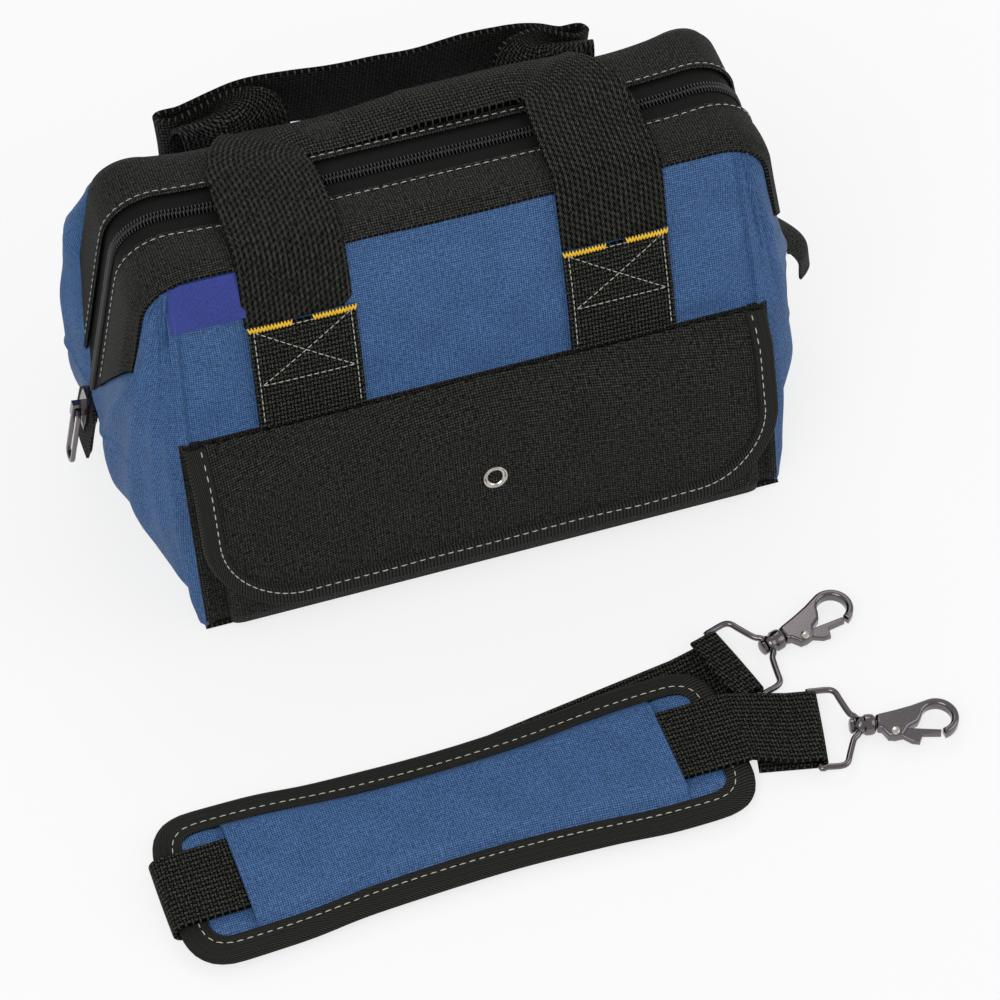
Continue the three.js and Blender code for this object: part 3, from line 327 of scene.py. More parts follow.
def mouthLine(h):
    # The line of the zip over the bag, by the length from the middle of the top: place and normal in (x, z).
    side = -1 if h < 0 else 1
    h = abs(h)
    turn = clamp((h - topHalf) / mouth["radius"], 0, cornerTurn)
    leg = max(h - cornerEnd, 0)
    x = min(h, topHalf) + mouth["radius"] * sin(turn) + leg * sin(legLean)
    z = bag["mouthHeight"] - mouth["radius"] * (1 - cos(turn)) - leg * cos(legLean)
    return side * x, z, side * sin(turn), cos(turn)


def lengthAtHeight(z):
    corner = mouthLine(cornerEnd)[1]
    if z > corner:
        return topHalf + mouth["radius"] * acos(clamp(1 - (bag["mouthHeight"] - z) / mouth["radius"], -1, 1))
    return cornerEnd + (corner - z) / cos(legLean)


def taperStart(s):
    return mouth["hinge"] + mouth["gap"] + s * taperSlope


def fold(x, z, ends, height, width):
    # One soft ridge in cloth along a line from (x0, z0) to (x1, z1), dying out at its ends.
    (x0, z0), (x1, z1) = ends
    run = hypot(x1 - x0, z1 - z0)
    along = ((x - x0) * (x1 - x0) + (z - z0) * (z1 - z0)) / run
    off = ((x - x0) * (z1 - z0) - (z - z0) * (x1 - x0)) / run
    past = max(-along, along - run, 0) / width
    return height * exp(-(off / width) ** 2 - past * past) * (0.45 + 0.55 * sin(pi * clamp(along / run)))


def rumple(x, y, z, size, height):
    return height * noise.noise(Vector((x, y, z)) / size)


def lengthsOf(points):
    # How far along their line each of the points lies.
    marks = [0.0]
    for a, b in zip(points, points[1:]):
        marks.append(marks[-1] + (b - a).length)
    return marks


def spanAt(marks, v):
    # Between which two marks v lies, and how far along between them.
    k = min(bisect_right(marks, v + 1e-9), len(marks) - 1) - 1
    return k, clamp((v - marks[k]) / max(marks[k + 1] - marks[k], 1e-9))


def pathOf(points):
    # A smooth path through the points, read by the length along it. It runs on straight past its end.
    points = [Vector(p) for p in points]
    ends = [points[0] * 2 - points[1]] + points + [points[-1] * 2 - points[-2]]
    dense = []
    for a, b, c, d in zip(ends, ends[1:], ends[2:], ends[3:]):
        for t in [k / 10 for k in range(10)]:
            square, cube = 2 * a - 5 * b + 4 * c - d, 3 * b - a - 3 * c + d
            dense.append((2 * b + (c - a) * t + square * t * t + cube * t ** 3) / 2)
    dense.append(points[-1])
    marks = lengthsOf(dense)

    def at(v):
        v = max(v, 0)
        if v >= marks[-1]:
            run = (dense[-1] - dense[-2]).normalized()
            return dense[-1] + run * (v - marks[-1]), run
        low, t = spanAt(marks, v)
        a, b = dense[low], dense[low + 1]
        before, after = dense[max(low - 1, 0)], dense[min(low + 2, len(dense) - 1)]
        return a.lerp(b, t), (b - before).lerp(after - a, t).normalized()
    return at, marks[-1]


# Making pieces

def made(create, **settings):
    # Runs one of Blender's create calls with nothing selected.
    bpy.ops.object.select_all(action="DESELECT")
    create(**settings)
    return bpy.context.object


def pick(pieces):
    bpy.ops.object.select_all(action="DESELECT")
    for piece in pieces:
        piece.select_set(True)
    bpy.context.view_layer.objects.active = pieces[0]


def modify(piece, kind, **settings):
    # Adds a modifier to the piece, which has to be the active one, and applies it.
    modifier = piece.modifiers.new(kind, kind)
    for field, value in settings.items():
        setattr(modifier, field, value)
    bpy.ops.object.modifier_apply(modifier=modifier.name)


def weld(near, filled=False):
    # Joins the doubled points of the new piece, closes its holes if asked and turns its faces outwards.
    bpy.ops.object.mode_set(mode="EDIT")
    bpy.ops.mesh.select_all(action="SELECT")
    bpy.ops.mesh.remove_doubles(threshold=near)
    if filled:
        bpy.ops.mesh.fill_holes(sides=0)
    bpy.ops.mesh.normals_make_consistent(inside=False)
    bpy.ops.object.mode_set(mode="OBJECT")


def shaped(columns, rows, place):
    # A flat grid laid over place(u, w) in millimetres, with u x w pointing out. Its UVs are real metres.
    piece = made(bpy.ops.mesh.primitive_grid_add, x_subdivisions=columns, y_subdivisions=rows, size=2)
    mesh = piece.data
    spots = [(round((v.co.x + 1) / 2 * columns), round((v.co.y + 1) / 2 * rows)) for v in mesh.vertices]
    net = [[Vector(place(i / columns, j / rows)) for j in range(rows + 1)] for i in range(columns + 1)]
    for vertex, (i, j) in zip(mesh.vertices, spots):
        vertex.co = net[i][j] * mm
    up = [lengthsOf(column) for column in net]
    across = [lengthsOf(row) for row in zip(*net)]
    for loop, uv in zip(mesh.loops, mesh.uv_layers.active.data):
        i, j = spots[loop.vertex_index]
        uv.uv = ((across[j][i] - across[j][columns // 2]) * mm, up[i][j] * mm)
    return piece


def finish(piece, name, material, thickness=0, offset=-1, angle=50):
    piece.name = name
    pick([piece])
    if thickness:
        modify(piece, "SOLIDIFY", thickness=thickness * mm, offset=offset, use_even_offset=False)
    bpy.ops.object.shade_smooth_by_angle(angle=radians(angle))
    piece.data.materials.clear()
    piece.data.materials.append(material)
    return piece


def cloth(name, columns, rows, place, material, thickness, **more):
    return finish(shaped(columns, rows, place), name, material, thickness, **more)


def follow(pieces, body, instead=(), slot=None):
    # body is one body, which the pieces are attached to, or (body, body, start height, end height); for such
    # a tuple the pieces are only baked in place and attached to neither body.
    for piece in pieces:
        if isinstance(body, str):
            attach(piece, body)
        else:
            first, second, start, end = body
            toMetres(start)
            toMetres(end)
            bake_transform(piece)
    if instead:
        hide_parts(*instead)


def scatter(name, sample, places, material):
    # Copies one small modelled sample to each place, a matrix in millimetres, and joins the copies.
    copies = []
    for place in places:
        copy = sample.copy()
        copy.data = sample.data.copy()
        copy.matrix_world = place
        bpy.context.collection.objects.link(copy)
        copies.append(copy)
    pick(copies)
    bpy.ops.object.join()
    joined = bpy.context.object
    joined.matrix_world = Matrix.Scale(mm, 4) @ joined.matrix_world
    bpy.ops.object.transform_apply(location=True, rotation=True, scale=True)
    joined.name = name
    joined.data.materials.clear()
    joined.data.materials.append(material)
    return joined


def frameAt(point, along, out):
    # A place for a copied sample: x along, z out.
    along = Vector(along).normalized()
    side = Vector(out).cross(along).normalized()
    out = along.cross(side)
    place = Matrix((along, side, out)).transposed().to_4x4()
    place.translation = Vector(point)
    return place


def rowOf(curve, length, pitch, lift=0.0):
    # Places for stitches every pitch along a curve(v) that gives (point, way out) by length.
    places = []
    count = int(length / pitch)
    for k in range(count):
        v = (k + 0.5) * length / count
        here, out = curve(v)
        ahead = curve(min(v + 0.4, length))[0]
        behind = curve(max(v - 0.4, 0))[0]
        places.append(frameAt(here + out * lift, ahead - behind, out))
    return places


def rowAlong(points, out, pitch):
    # Places for stitches along a line of points that has one way out.
    marks = lengthsOf(points)

    def curve(v):
        k, t = spanAt(marks, v)
        return points[k].lerp(points[k + 1], t), out
    return rowOf(curve, marks[-1], pitch)


def sphereSample(rings, reshape):
    sample = made(bpy.ops.mesh.primitive_uv_sphere_add, segments=6, ring_count=rings, radius=1)
    for vertex in sample.data.vertices:
        vertex.co = reshape(*vertex.co)
    bpy.ops.object.shade_smooth()
    return sample


def stitchSample(length=3.1, thick=0.45):
    # One stitch of thread: a short rounded bar whose ends sink into the cloth.
    def reshape(x, y, z):
        round = thick / 2 * (1 if abs(z) < 0.9 else 0.4)
        return z * length / 2, y * round, x * round - 0.3 * z * z
    return sphereSample(5, reshape)


def toothSample():
    # One turn of the nylon coil: a bar across the zip with a rounded head that the other side's heads pass.
    return sphereSample(6, lambda x, y, z: (x * 0.5, z * 2.25, y * 1.05))


def sew(name, sample, places, material, body, **more):
    # Copies of a sample as one piece that follows a body; the sample itself goes.
    follow([scatter(name, sample, places, material)], body, **more)
    bpy.data.objects.remove(sample, do_unlink=True)


# Mouth bands, zip and the wires in the hems

band = {"inner": 11.4, "stitch": 14.0, "outer": 43.5, "seam": 42.5, "under": -2.2, "shift": 4.0, "sink": 2.0,
        "slope": [(0, 0), (14, 4), (26, 15), (34, 35), (42, 60)]}
zipper = {"tape": (2.6, 13.2, -1.9), "coilAt": 1.2, "coilLift": -1.4, "pitch": 1.75}
hem = {"at": 35, "sink": 5.0, "wire": 1.6}
slump = [(0.0, 0.0)]
for step in range(60):
    angle = radians(table(band["slope"], step + 0.5))
    slump.append((slump[-1][0] + cos(angle), slump[-1][1] + sin(angle)))


def bandAt(side, h, s, lift=0.0):
    # A point on the outer face of the top, s across from the middle of the zip. The rear half slumps back.
    x, z, nx, nz = mouthLine(h)
    share = 1 - ease((abs(h) - 0.75 * topHalf) / (cornerEnd + 12 - 0.75 * topHalf))
    move = share * (1 - ease((s - 14) / 26))
    if side < 0:
        y = -s
        depth = 1.3 * sin(pi * clamp((s - 13) / 30)) - 2.6 * ease((s - 36) / 7)
    else:
        low, part = min(int(s), 58), s - int(s)
        fallen = [lerp(a, b, part) for a, b in zip(slump[low], slump[low + 1])]
        y = lerp(s, fallen[0], share)
        depth = -share * fallen[1] - 2.0 * ease((s - 37) / 6) * (1 - share)
    y -= band["shift"] * move
    depth += lift - band["sink"] * move + 0.5 * rumple(x, s, z, 26, 1.0) * ease((s - 16) / 10)
    return Vector((x + nx * depth, y, z + nz * depth))


def bandPlace(side, near, far, lift):
    # A strip of the top from one distance to another from the middle of the zip.
    def place(u, w):
        s = lerp(far, near, w) if side < 0 else lerp(near, far, w)
        half = lengthAtHeight(taperStart(min(s, 42)))
        extra = lift(s) if callable(lift) else lift
        return bandAt(side, (2 * u - 1) * half, s, extra)
    return place


def hemLift(s):
    # The zip edge of a band is folded under, so that it stands a little proud up to its row of stitches.
    past, row = s - band["inner"], s - band["stitch"]
    return 0.9 * (1 - ease((past - 2.2) / 1.6)) - 1.1 * (1 - ease(past / 0.9)) - 0.5 * exp(-(row / 0.7) ** 2)


def zipRow(side, h, s, lift):
    # A point beside the zip's line and the way out there.
    x, z, nx, nz = mouthLine(h)
    return bandAt(side, h, s, lift), Vector((nx, 0, nz))


def addMouth():
    for side, name in ((-1, "front"), (1, "rear")):
        body = name + "_mouth"
        bandFace = bandPlace(side, band["inner"], band["outer"], hemLift)
        follow([cloth(name + "MouthBand", 150, 26, bandFace, blackCloth, 1.8)], body, [name + "_band"])
        tape = cloth(name + "ZipTape", 120, 6, bandPlace(side, *zipper["tape"]), zipTape, 0.9)
        follow([tape], body, [name + "_zip_tape"])
        half = lengthAtHeight(taperStart(0.7))
        places = rowOf(lambda v: zipRow(side, v - half, zipper["coilAt"], zipper["coilLift"]), 2 * half,
                       zipper["pitch"])
        if side > 0:
            # The teeth of one half lie between those of the other.
            places = [p @ Matrix.Translation((0.87, 0, 0)) for p in places]
        sew(name + "ZipCoil", toothSample(), places, zipNylon, body, instead=[name + "_zip_chain"])
        reach = lengthAtHeight(taperStart(band["stitch"])) - 4
        lift = hemLift(band["stitch"])
        places = rowOf(lambda v: zipRow(side, v - reach, band["stitch"], lift), 2 * reach, 4.3, 0.3)
        sew(name + "BandStitches", stitchSample(), places, greyThread, body, slot="zip_tape")
        follow([hemWire(side, name)], body, [name + "_frame_wire"])


def hemWire(side, name):
    # Spring wire inside the hem, bent to the mouth and following the slumped band.
    half = lengthAtHeight(taperStart(hem["at"]) + 4)
    points = [bandAt(side, lerp(-half, half, i / 60), hem["at"], -hem["sink"]) for i in range(61)]
    return rod(name + "HemWire", points, hem["wire"], steelWire)


def curveOf(outlines, closed, bevel, bevelSteps):
    # A bevelled curve over each outline of points.
    piece = made(bpy.ops.curve.primitive_bezier_curve_add)
    piece.data.splines.clear()
    for outline in outlines:
        line = piece.data.splines.new("POLY")
        line.points.add(len(outline) - 1)
        for point, at in zip(line.points, outline):
            point.co = (*at, 1)
        line.use_cyclic_u = closed
    piece.data.bevel_depth = bevel
    piece.data.bevel_resolution = bevelSteps
    return piece


def rod(name, points, radius, material, bevelSteps=3, closed=False):
    # A round rod or wire along points, as a bevelled curve turned into a mesh.
    wire = curveOf([[Vector(p) * mm for p in points]], closed, radius * mm, bevelSteps)
    wire.data.use_fill_caps = True
    wire.data.resolution_u = 1
    bpy.ops.object.convert(target="MESH")
    return finish(bpy.context.object, name, material)


def plateOf(name, outline, thick, bevel, material, place):
    # A flat plate with rounded edges, made round the origin in millimetres and laid at its place.
    shape = curveOf([[(x, y, 0) for x, y in outline]], True, bevel, 2)
    shape.data.dimensions = "2D"
    shape.data.fill_mode = "BOTH"
    shape.data.extrude = thick / 2 - bevel
    shape.data.offset = -bevel
    bpy.ops.object.convert(target="MESH")
    shape = bpy.context.object
    shape.data.transform(Matrix.Scale(mm, 4) @ place)
    shape.data.update()
    return finish(shape, name, material, angle=35)


def turned(name, profile, material, place, sides=40):
    # A lathe-turned piece: (place along x, radius) pairs spun round the x axis, then laid at its place.
    rows = len(profile) - 1

    def at(u, w):
        x, r = profile[round(w * rows)]
        a = 2 * pi * u
        return (x, r * cos(a), r * sin(a))
    piece = shaped(sides, rows, at)
    weld(1e-6)
    place = place.copy()
    place.translation = place.translation * mm
    piece.data.transform(place)
    return finish(piece, name, material, angle=35)


# Walls of the bag

wall = {"bulge": 2.6, "rearBulge": 8.0, "edgeLength": 139.8, "corner": 142, "cloth": 1.6, "rib": 138.6,
        "groove": 135.4}
frontFolds = [
    ((134, 170), (96, 112), 1.6, 5), ((122, 178), (100, 136), 1.1, 4), ((-122, 168), (-112, 116), 1.5, 5),
    ((44, 170), (24, 134), 0.9, 6), ((-38, 150), (10, 116), 0.9, 7),
    ((-60, 118), (-22, 168), 1.3, 8), ((-35, 108), (15, 150), -1.1, 9), ((5, 112), (38, 172), 1.2, 7),
    ((104, 112), (137, 150), 2.0, 6), ((108, 124), (128, 166), -1.6, 5), ((100, 105), (132, 128), 1.5, 6),
    ((112, 172), (134, 140), -1.2, 6), ((-134, 112), (-112, 150), 1.4, 6), ((-40, 175), (20, 165), -1.0, 5),
]
rearFolds = [
    ((-90, 110), (-30, 160), 2.0, 9), ((0, 112), (60, 165), 2.4, 10), ((80, 112), (130, 150), 2.0, 8),
]


def upperFace(side, x, t, ripples=1.0):
    # A point on the blue wall: x at the seam, t from the seam (0) to the mouth band (1).
    u = x / wall["corner"]
    low = Vector((x, side * bag["seamDepth"] / 2, bag["seamHeight"]))
    high = bandAt(side, u * wall["edgeLength"], band["seam"], band["under"])
    bulge = (wall["bulge"] if side < 0 else wall["rearBulge"]) * sin(pi * clamp(t)) * (1 - abs(u) ** 4)
    here = low.lerp(high, t)
    folds = frontFolds if side < 0 else rearFolds
    height = lerp(bag["seamHeight"], 184, t)
    ripple = sum(fold(x, height, (a, b), h, w) for a, b, h, w in folds)
    ripple += rumple(x, side * 40, height, 30, 0.8)
    ripple *= ripples * ease(t / 0.12) * ease((1 - t) / 0.08)
    rib = 1.5 * exp(-((abs(x) - wall["rib"]) / 1.5) ** 2) - 0.8 * exp(-((abs(x) - wall["groove"]) / 1.4) ** 2)
    return here + outOf(side, upperLean) * (bulge + ripple + rib * ripples)


def lowerFace(side, x, z):
    foot = 3.5 * (1 - ease(z / 7))
    rib = 1.3 * exp(-((abs(x) - wall["rib"]) / 1.5) ** 2)
    puff = 1.4 * sin(pi * clamp(z / bag["seamHeight"])) * (1 - abs(x / wall["corner"]) ** 4) * (side > 0)
    return Vector((x, side * wallY(z), z)) + outOf(side, lowerLean) * (rib + puff - foot)


ridge = [(0, 143), (12, 150.5), (25, 156.5), (40, 161.5), (55, 164.3), (64, 165), (70, 164.6), (76, 167.4)]
endFolds = {
    (-1, -1): [(0.34, 18, 150, 3.2), (0.6, 10, 160, 2.6), (0.82, 30, 165, 2.2)],
    (1, -1): [(0.3, 30, 120, 1.6), (0.72, 30, 160, 2.2)],
    (-1, 1): [(0.35, 20, 120, 2.6), (0.7, 60, 150, 3.0)],
    (1, 1): [(0.4, 20, 140, 2.6), (0.7, 30, 150, 2.4)],
}
endBulge = {
    (-1, -1): [(0, 0), (18, 7), (50, 10), (90, 9), (130, 7), (165, 3), (184, 0)],
    (1, -1): [(0, 0), (18, 8), (50, 12), (90, 9), (130, 4), (165, 1), (184, 0)],
    (-1, 1): [(0, 0), (18, 8), (50, 12), (90, 14), (130, 15), (160, 8), (184, 0)],
    (1, 1): [(0, 0), (18, 8), (50, 12), (90, 12), (130, 8), (165, 3), (184, 0)],
}


def ridgeX(z):
    return table(ridge, z, clamp) if z <= ridge[-1][0] else mouthLine(lengthAtHeight(z))[0]


def endFace(end, side, share, t):
    # The end cloth of one quarter: share 0 at the zip and 1 at the corner seam, t from the base up.
    z = lerp(2.5, 183, t)
    if z < mouth["hinge"]:
        near = Vector((end * ridgeX(z), 0, z))
    else:
        s = clamp((z - mouth["hinge"]) / taperSlope, 0, band["seam"])
        h = lengthAtHeight(min(z, 182.2))
        near = bandAt(side, end * h, s, band["under"])
        if z < ridge[-1][0]:
            near.x = end * ridgeX(z)
    if z < bag["seamHeight"]:
        far = Vector((end * wall["corner"], side * wallY(z), z))
    else:
        far = upperFace(side, end * wall["corner"], (z - bag["seamHeight"]) / 80, 0.0)
    bulge = table(endBulge[(end, side)], z) * sin(pi * clamp(share)) ** 0.8
    across = sum(h * exp(-((share - at) / 0.075) ** 2) * ease((z - a) / 25) * ease((b - z) / 25)
                 for at, a, b, h in endFolds[(end, side)])
    across *= ease(share / 0.15) * ease((1 - share) / 0.12)
    seam = 2.6 * exp(-((share - 0.94) / 0.03) ** 2) - 1.6 * exp(-((share - 0.84) / 0.035) ** 2)
    lump = rumple(end * 60, side * share * 70, z, 24, 1.6) * sin(pi * clamp(share)) * ease(z / 20)
    out = Vector((end, side * 0.35 * share, 0)).normalized()
    return near.lerp(far, share) + out * (bulge + across + seam + lump)


# Places as (y, z), between the bag, which stays, and a half of the mouth; they are handed to follow with the
# cloth, which does not use them, so no cloth bends there.
bends = {"wall": ((70, 103), (26, 142.8)), "end": ((70, 95.7), (34.4, 140.5))}


def bending(kind, side, name):
    return ("bag", name + "_mouth", *[(0, side * y, z) for y, z in bends[kind]])


def addWalls():
    for side, name in ((-1, "front"), (1, "rear")):
        def across(u):
            return -side * lerp(-wall["corner"], wall["corner"], u)
        upper = cloth(name + "UpperWall", 140, 50, lambda u, w: upperFace(side, across(u), w),
                      blueCloth, wall["cloth"])
        follow([upper], bending("wall", side, name), [name + "_upper_panel"])
        lower = cloth(name + "LowerWall", 100, 30,
                      lambda u, w: lowerFace(side, across(u), lerp(0.3, 103.5, w)), blackCloth, wall["cloth"])
        follow([lower], "bag", [name + "_lower_panel"])
    for end, endName in ((-1, "left"), (1, "right")):
        for side, name in ((-1, "Front"), (1, "Rear")):
            def place(u, w):
                return endFace(end, side, u if end * side > 0 else 1 - u, w)
            quarter = cloth(endName + name + "End", 44, 90, place, blueCloth, wall["cloth"])
            instead = [f"{endName}_{name.lower()}_gore"] + ([endName + "_gusset"] if side < 0 else [])
            follow([quarter], bending("end", side, name.lower()), instead)
    addBase()


def addBase():
    # The cloth bottom, turned up a little where the walls are sewn to it.
    length, depth, turnUp = 142.5, 99.5, 4.5

    def place(u, w):
        x, y = lerp(length, -length, u), lerp(-depth, depth, w)
        edge = max(abs(x) - length + turnUp, abs(y) - depth + turnUp, 0)
        return (x, y, 0.1 + 0.09 * edge * edge)
    bottom = cloth("baseCloth", 60, 44, place, blackCloth, 2.0)
    follow([bottom], "bag", ["base_panel"])


# Pocket, flap and snap on the front

pocket = {"width": 262, "height": 82, "depth": 10, "foot": 5}
flap = {"width": 280, "top": 106, "foot": 15, "corner": 45, "binding": 10, "stitch": 7.2, "snap": 58,
        "lower": [(15, 12.6), (58, 13.5), (88, 12.15)],
        "upper": [(82, 12.6), (90, 11.4), (98, 6.8), (106, 0.8)]}
flapStraight = flap["top"] - flap["foot"] - flap["corner"]
flapArc = pi / 2 * flap["corner"]
flapAround = 2 * (flapStraight + flapArc) + flap["width"] - 2 * flap["corner"]


def onLowerWall(side, x, out, up):
    deep = bag["baseDepth"] / 2 + out * cos(lowerLean) - up * sin(lowerLean)
    return Vector((x, side * deep, out * sin(lowerLean) + up * cos(lowerLean)))


def flapFace(x, w, lift=0.0):
    # The flap's outer face, puffed a little between its folds and fallen in near its lower corners.
    gap = table(flap["lower"], w, clamp) if w < flap["upper"][0][0] else table(flap["upper"], w)
    puff = 0.8 * sin(pi * clamp((w - 18) / 78)) * (1 - (abs(x) / 140) ** 3)
    waves = 0.9 * sin(x / 31 + 0.6) * sin(pi * clamp((w - 20) / 80)) + rumple(x, 9, w, 34, 1.3)
    waves += fold(x, w, ((-120, 92), (-60, 60)), 0.9, 7) + fold(x, w, ((70, 95), (118, 70)), 0.9, 7)
    flat = exp(-(x ** 2 + (w - flap["snap"]) ** 2) / 150)
    out = gap + 1.5 + puff + waves * (1 - flat) * ease((flap["top"] - w) / 14) + lift - 1.4 * flat
    return onLowerWall(-1, x, out, w)


def flapHalf(w, inset):
    radius = flap["corner"] - inset
    down = clamp(flap["foot"] + flap["corner"] - w, 0, radius)
    return flap["width"] / 2 - inset - radius + sqrt(radius * radius - down * down)


def flapEdge(v, inset, lift=0.0):
    # The flap's outline by its length from the top left, drawn in by an inset; gives the place on the face.
    radius = flap["corner"] - inset
    mirror = v > flapAround / 2
    v = flapAround - v if mirror else v
    middleX = flap["width"] / 2 - flap["corner"]
    if v < flapStraight:
        x, w = flap["width"] / 2 - inset, flap["top"] - v
    elif v < flapStraight + flapArc:
        a = (v - flapStraight) / flap["corner"]
        x, w = middleX + radius * cos(a), flap["foot"] + flap["corner"] - radius * sin(a)
    else:
        x, w = middleX - (v - flapStraight - flapArc), flap["foot"] + inset
    return flapFace(x if mirror else -x, w, lift)


def addFlap():
    def facePlace(u, w):
        height = lerp(flap["foot"] + 6, flap["top"], w)
        half = flapHalf(height, 6)
        return flapFace(lerp(-half, half, u), height)
    face = cloth("pocketFlap", 110, 44, facePlace, blackCloth, 2.0)
    follow([face], "flap", ["pocket_flap"])

    def bindingPlace(u, w):
        # Woven tape folded over the flap's edge: a rounded edge outside and a thin lip inside.
        inset = lerp(-0.6, flap["binding"], w)
        lift = 1.5 * ease(w / 0.16) * ease((1 - w) / 0.08) + 0.25 * sin(pi * w) - 2.2 * ease((0.1 - w) / 0.1)
        return flapEdge(flapAround * u, inset, lift)
    edge = cloth("flapBinding", 200, 12, bindingPlace, bindingTape, 2.6)
    follow([edge], "flap", ["flap_binding"])
    places = rowOf(lambda v: (flapEdge(v, flap["stitch"], 1.95), outOf(-1, lowerLean)), flapAround, 4.6)
    sew("flapStitches", stitchSample(3.2, 0.6), places, greyThread, "flap", slot="binding_tape")


def addEyelet():
    # The snap's cap: a rolled ring of bright metal with a low inner lip.
    profile = [(-0.4, 3.6), (0.7, 3.6), (1.1, 4.0), (1.5, 4.6), (1.55, 5.2), (1.2, 5.8), (0.5, 6.1),
               (-0.4, 6.0), (-0.4, 3.6)]
    place = frameAt(flapFace(0, flap["snap"], 0.1), outOf(-1, lowerLean), (1, 0, 0))
    follow([turned("snapRing", profile, nickel, place)], "flap", ["flap_eyelet"])


def addPocket():
    # The pocket behind the flap: one folded length of cloth, rounded at its corners and open at the top.
    half, depth, radius = pocket["width"] / 2, pocket["depth"], 5.0
    chamfer = radius * 0.3
    path = [(half, 0.4), (half, depth - radius), (half - chamfer, depth - chamfer), (half - radius, depth)]
    path = [Vector((-x, out)) for x, out in path] + [Vector(p) for p in reversed(path)]
    marks = lengthsOf(path)

    def place(u, w):
        k, t = spanAt(marks, u * marks[-1])
        x, out = path[k].lerp(path[k + 1], t)
        low = 1 - ease(w / 0.09)
        low = 1 - ease(w / 0.09)
        high = pocket["foot"] + pocket["height"] * w
        drop = 0.8 * sin(x / 23) * sin(pi * w)
        out = 0.4 + (out + drop * (out > 3)) * (1 - 0.45 * low)
        return onLowerWall(-1, x * (1 - 0.004 * low), out, high)
    body = cloth("frontPocket", 150, 24, place, blackCloth, 1.6)
    follow([body], "bag", ["front_pocket"])


# Handles and their sewn ends

handle = {"width": 50.8, "thick": 2.4, "spacing": 75, "shift": -3.5, "corner": 33, "leg": 115,
          "sewn": (0.004, 0.635)}
frontBend = [(-54.6, 154.4), (-50.2, 167), (-44.5, 182), (-38.5, 189), (-20, 190.2), (0, 188.8),
             (11.5, 187.2), (30, 183.4), (41, 178), (48, 171), (53, 162.5), (56, 154)]
frontLine = pathOf([(0, y, z) for y, z in frontBend])[0]


def foldedLoop(u, w):
    # The flat front loop of webbing, its two legs and mitred corners, laid over a bent line in (y, z).
    straight = handle["leg"] - handle["corner"]
    bend = handle["corner"] * pi / 2
    cross = handle["spacing"] - handle["corner"]
    total = 2 * (straight + bend + cross)
    v = u * total
    right = v > total / 2
    v = total - v if right else v
    if v < straight:
        x, along, turn = -handle["spacing"], v, 0
    elif v < straight + bend:
        turn = (v - straight) / handle["corner"]
        x = -handle["spacing"] + handle["corner"] * (1 - cos(turn))
        along = straight + handle["corner"] * sin(turn)
    else:
        turn = pi / 2
        x, along = -cross + (v - straight - bend), handle["leg"]
    across = (0.5 - w) * handle["width"] * (1 - 0.12 * exp(-((v - straight - 18) / 22) ** 2))
    x += across * cos(turn)
    point, run = frontLine(along - across * sin(turn))
    overlap = 1.7 * (1 - ease((turn - 0.72) / 0.12)) * ease((v - straight + 34) / 34)
    sag = -3.5 * exp(-((x + 42) / 34) ** 2) * ease((along - 70) / 40) * (not right)
    lift = 0.9 * sin(pi * w) + rumple(x, along, -9, 34, 0.9) * ease(v / 25) + overlap + sag
    x = (-x if right else x) + handle["shift"]
    return Vector((x, point.y - run.z * lift, point.z + run.y * lift))


# The rear loop has fallen back: the middle of the webbing, and the way across it to its outer edge.
rearRows = [
    ((76, 60, 158), (1, 0, -0.08)), ((81, 67.5, 156.5), (0.88, 0.1, -0.46)),
    ((90, 73, 144), (0.5, 0.1, -0.86)), ((97.5, 74.5, 131), (0.12, 0.12, -0.98)),
    ((102, 79.2, 125), (0, 0.08, -1)),
    ((99.5, 85.6, 122), (-0.08, 0.12, -0.99)), ((91, 88.2, 122), (-0.05, 0.2, -0.97)),
    ((80, 87.2, 130), (-0.02, 0.25, -0.97)), ((66, 85.3, 136.4), (0, 0.28, -0.96)),
    ((45, 83.4, 138.2), (0, 0.3, -0.95)), ((20, 82.4, 137.6), (0, 0.3, -0.95)),
    ((0, 82.4, 137.6), (0, 0.3, -0.95)),
]


def fallenLoop():
    # The rear loop, starting over the tops of its sewn ends.
    foot = upperFace(1, handle["spacing"], 0.63, 0.0) + outOf(1, upperLean) * 2.8
    half = [(foot, Vector((1, 0, 0)))] + [(Vector(p), Vector(c)) for p, c in rearRows]
    line = half + [(Vector((-p.x, p.y, p.z)), Vector((-c.x, c.y, c.z))) for p, c in reversed(half[:-1])]
    for point, _ in line[1:-1]:
        point.z += 1.8 - point.x / 30
        point.y += 3.4
        point.x *= 1.04 if point.x < -90 else 1
    points = [p for p, _ in line]
    at, length = pathOf(points)
    marks = lengthsOf(points)

    def place(u, w):
        k, t = spanAt(marks, u * marks[-1])
        across = line[k][1].lerp(line[k + 1][1], t).normalized()
        point, run = at(u * length)
        out = run.cross(across).normalized()
        loose = ease(u * 12) * ease((1 - u) * 12)
        bow = 0.9 * sin(pi * w) + rumple(*point, 30, 1.2) * loose
        return point + across * (w - 0.5) * handle["width"] + out * bow
    return place


def addHandles():
    front = cloth("frontHandle", 190, 16, foldedLoop, blackWebbing, handle["thick"])
    follow([front], "front_handle", ["front_handle"])
    rear = cloth("rearHandle", 220, 12, fallenLoop(), blackWebbing, handle["thick"])
    follow([rear], "rear_handle", ["rear_handle"])
    for side, name in ((-1, "front"), (1, "rear")):
        for end, endName in ((-1, "left"), (1, "right")):
            addAnchor(side, name, end, endName)


